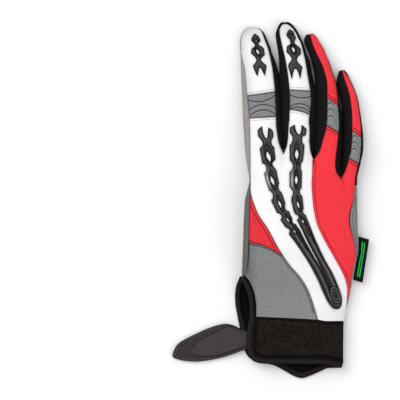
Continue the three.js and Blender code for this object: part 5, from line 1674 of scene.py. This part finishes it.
def stitching():
    """All the rows of stitches, one piece for each thread and slot."""
    pale = Stitches()
    for path in knuckle_rows((index, middle), 2.0):
        pale.row(*path, pitch=1.8, length=1.25, radius=0.3)
    pale.build("pale_knuckle_stitches", THREAD_PALE, "white_leather")

    dark = Stitches()
    for path in knuckle_rows((ring, little), 2.4):
        dark.row(*path, pitch=1.75, length=1.6, radius=0.38)
    dark.row(*seam_path(WHITE_RIGHT, RED_SEAM_TOP, -66, 1.9), pitch=2.0, length=1.4, radius=0.36)
    dark.build("red_cloth_stitches", THREAD_RED, "red_knit")

    black = Stitches()
    black.row(*seam_path(WHITE_LEFT, -4, -38, -2.6), pitch=2.2, length=1.6, radius=0.42)
    black.row(*seam_path(WHITE_LEFT, -43, -84, -1.6), pitch=2.1, length=1.4, radius=0.42)
    t = steps(0.04, 0.96, 60)
    y = GREY_TOP(t) - 1.4
    x = mix(SIDE_SEAM(y), WHITE_LEFT(y), t)
    black.row(*on_surface(x, y), pitch=1.9, length=1.7, radius=0.4)
    points, normals = on_side(LITTLE, 1, outside(RED_RIGHT, 1), steps(3, -40, 80), np.full(81, 0.1))
    black.row(points, normals, pitch=2.0, length=1.3, radius=0.3)
    black.build("grey_cloth_stitches", THREAD_BLACK, "grey_knit")

    cuff = Stitches()
    inner_edge = (BACK_EDGE + inward(BACK_EDGE) * SEWN)[75:]
    points, normals = on_surface(np.minimum(inner_edge[:, 0], FLAT_FROM), inner_edge[:, 1])
    points[:, 0] = inner_edge[:, 0]
    cuff.row(points + normals * 0.9, normals, pitch=2.2, length=1.4, radius=0.55)
    down = steps(0, 1, 60)
    for path in ((down, np.full(61, 0.02)), (np.full(61, 0.95), down)):
        points, normals = patch_points(*path)
        cuff.row(points + normals * (LOOP + GAP), normals, pitch=2.0, length=1.5, radius=0.24)
    cuff.build("cuff_stitches", THREAD_BLACK, "edge_binding")

    strap = Stitches()
    x = mix(TAB_TIP + 1, -21, 1 - np.cos(steps(0, math.pi / 2, 120)))
    up = np.tile([0.0, 0.0, 1.0], (len(x), 1))
    for edge, sign in ((TAB_TOP, -1), (TAB_BOTTOM, 1)):
        points = np.stack([x, edge(x) + sign * 1.5, TAB_HEIGHT(x) + TAB - 0.3], -1)
        strap.row(points, up, pitch=2.0, length=1.3, radius=0.24, lift=0.05)
    strap.build("strap_stitches", THREAD_BLACK, "strap_rubber")


stitching()


# Floor, light and camera
LAMPS = {  # place, size in metres, power in watts
    "key": ((-0.7, 0.6, 1.5), 1.2, 11),
    "fill": ((0.9, -0.5, 1.4), 1.4, 5.2),
    "top": ((0.0, 0.1, 2.2), 1.6, 13.5),
}


def stage():
    """A white floor just under the glove, a pale even sky and three large lamps."""
    paper = Shader("floor_paper", 0.9, specular=0.1)
    paper.colour(linear(249, 249, 250), linear(252, 252, 252), paper.noise(200, 2))
    half, drop = 2000, 0.2
    corners = [(-half, -half, -drop), (half, -half, -drop), (half, half, -drop), (-half, half, -drop)]
    floor = make_mesh("floor", corners, [[0, 1, 2, 3]], [paper.relief((paper.noise(0.6, 2), 0.02, 0.02))])

    world = bpy.data.worlds.new("studio")
    world.use_nodes = True
    world.node_tree.nodes["Background"].inputs[0].default_value = (1, 1, 1, 1)
    world.node_tree.nodes["Background"].inputs[1].default_value = 0.45
    bpy.context.scene.world = world
    for name, (place, size, power) in LAMPS.items():
        light = bpy.data.lights.new(name, "AREA")
        light.shape, light.size, light.energy = "DISK", size, power
        lamp = bpy.data.objects.new(name, light)
        lamp.location = place
        lamp.rotation_euler = (-Vector(place)).to_track_quat("-Z", "Y").to_euler()
        bpy.context.scene.collection.objects.link(lamp)


def camera():
    """Straight above and far away, at the photograph's scale, with the glove on its right."""
    pixels, pixel, glove_column = 400, 0.75, 271
    lens = bpy.data.cameras.new("camera")
    lens.lens, lens.sensor_width = 500, 36
    view_width = pixels * pixel * MM
    glove_height = 0.018
    seen = bpy.data.objects.new("camera", lens)
    middle_x = (pixels / 2 - glove_column) * pixel * MM
    seen.location = (middle_x, 0, glove_height + view_width * lens.lens / lens.sensor_width)
    bpy.context.scene.collection.objects.link(seen)
    bpy.context.scene.camera = seen
    bpy.context.scene.view_settings.view_transform = "Standard"


stage()
camera()
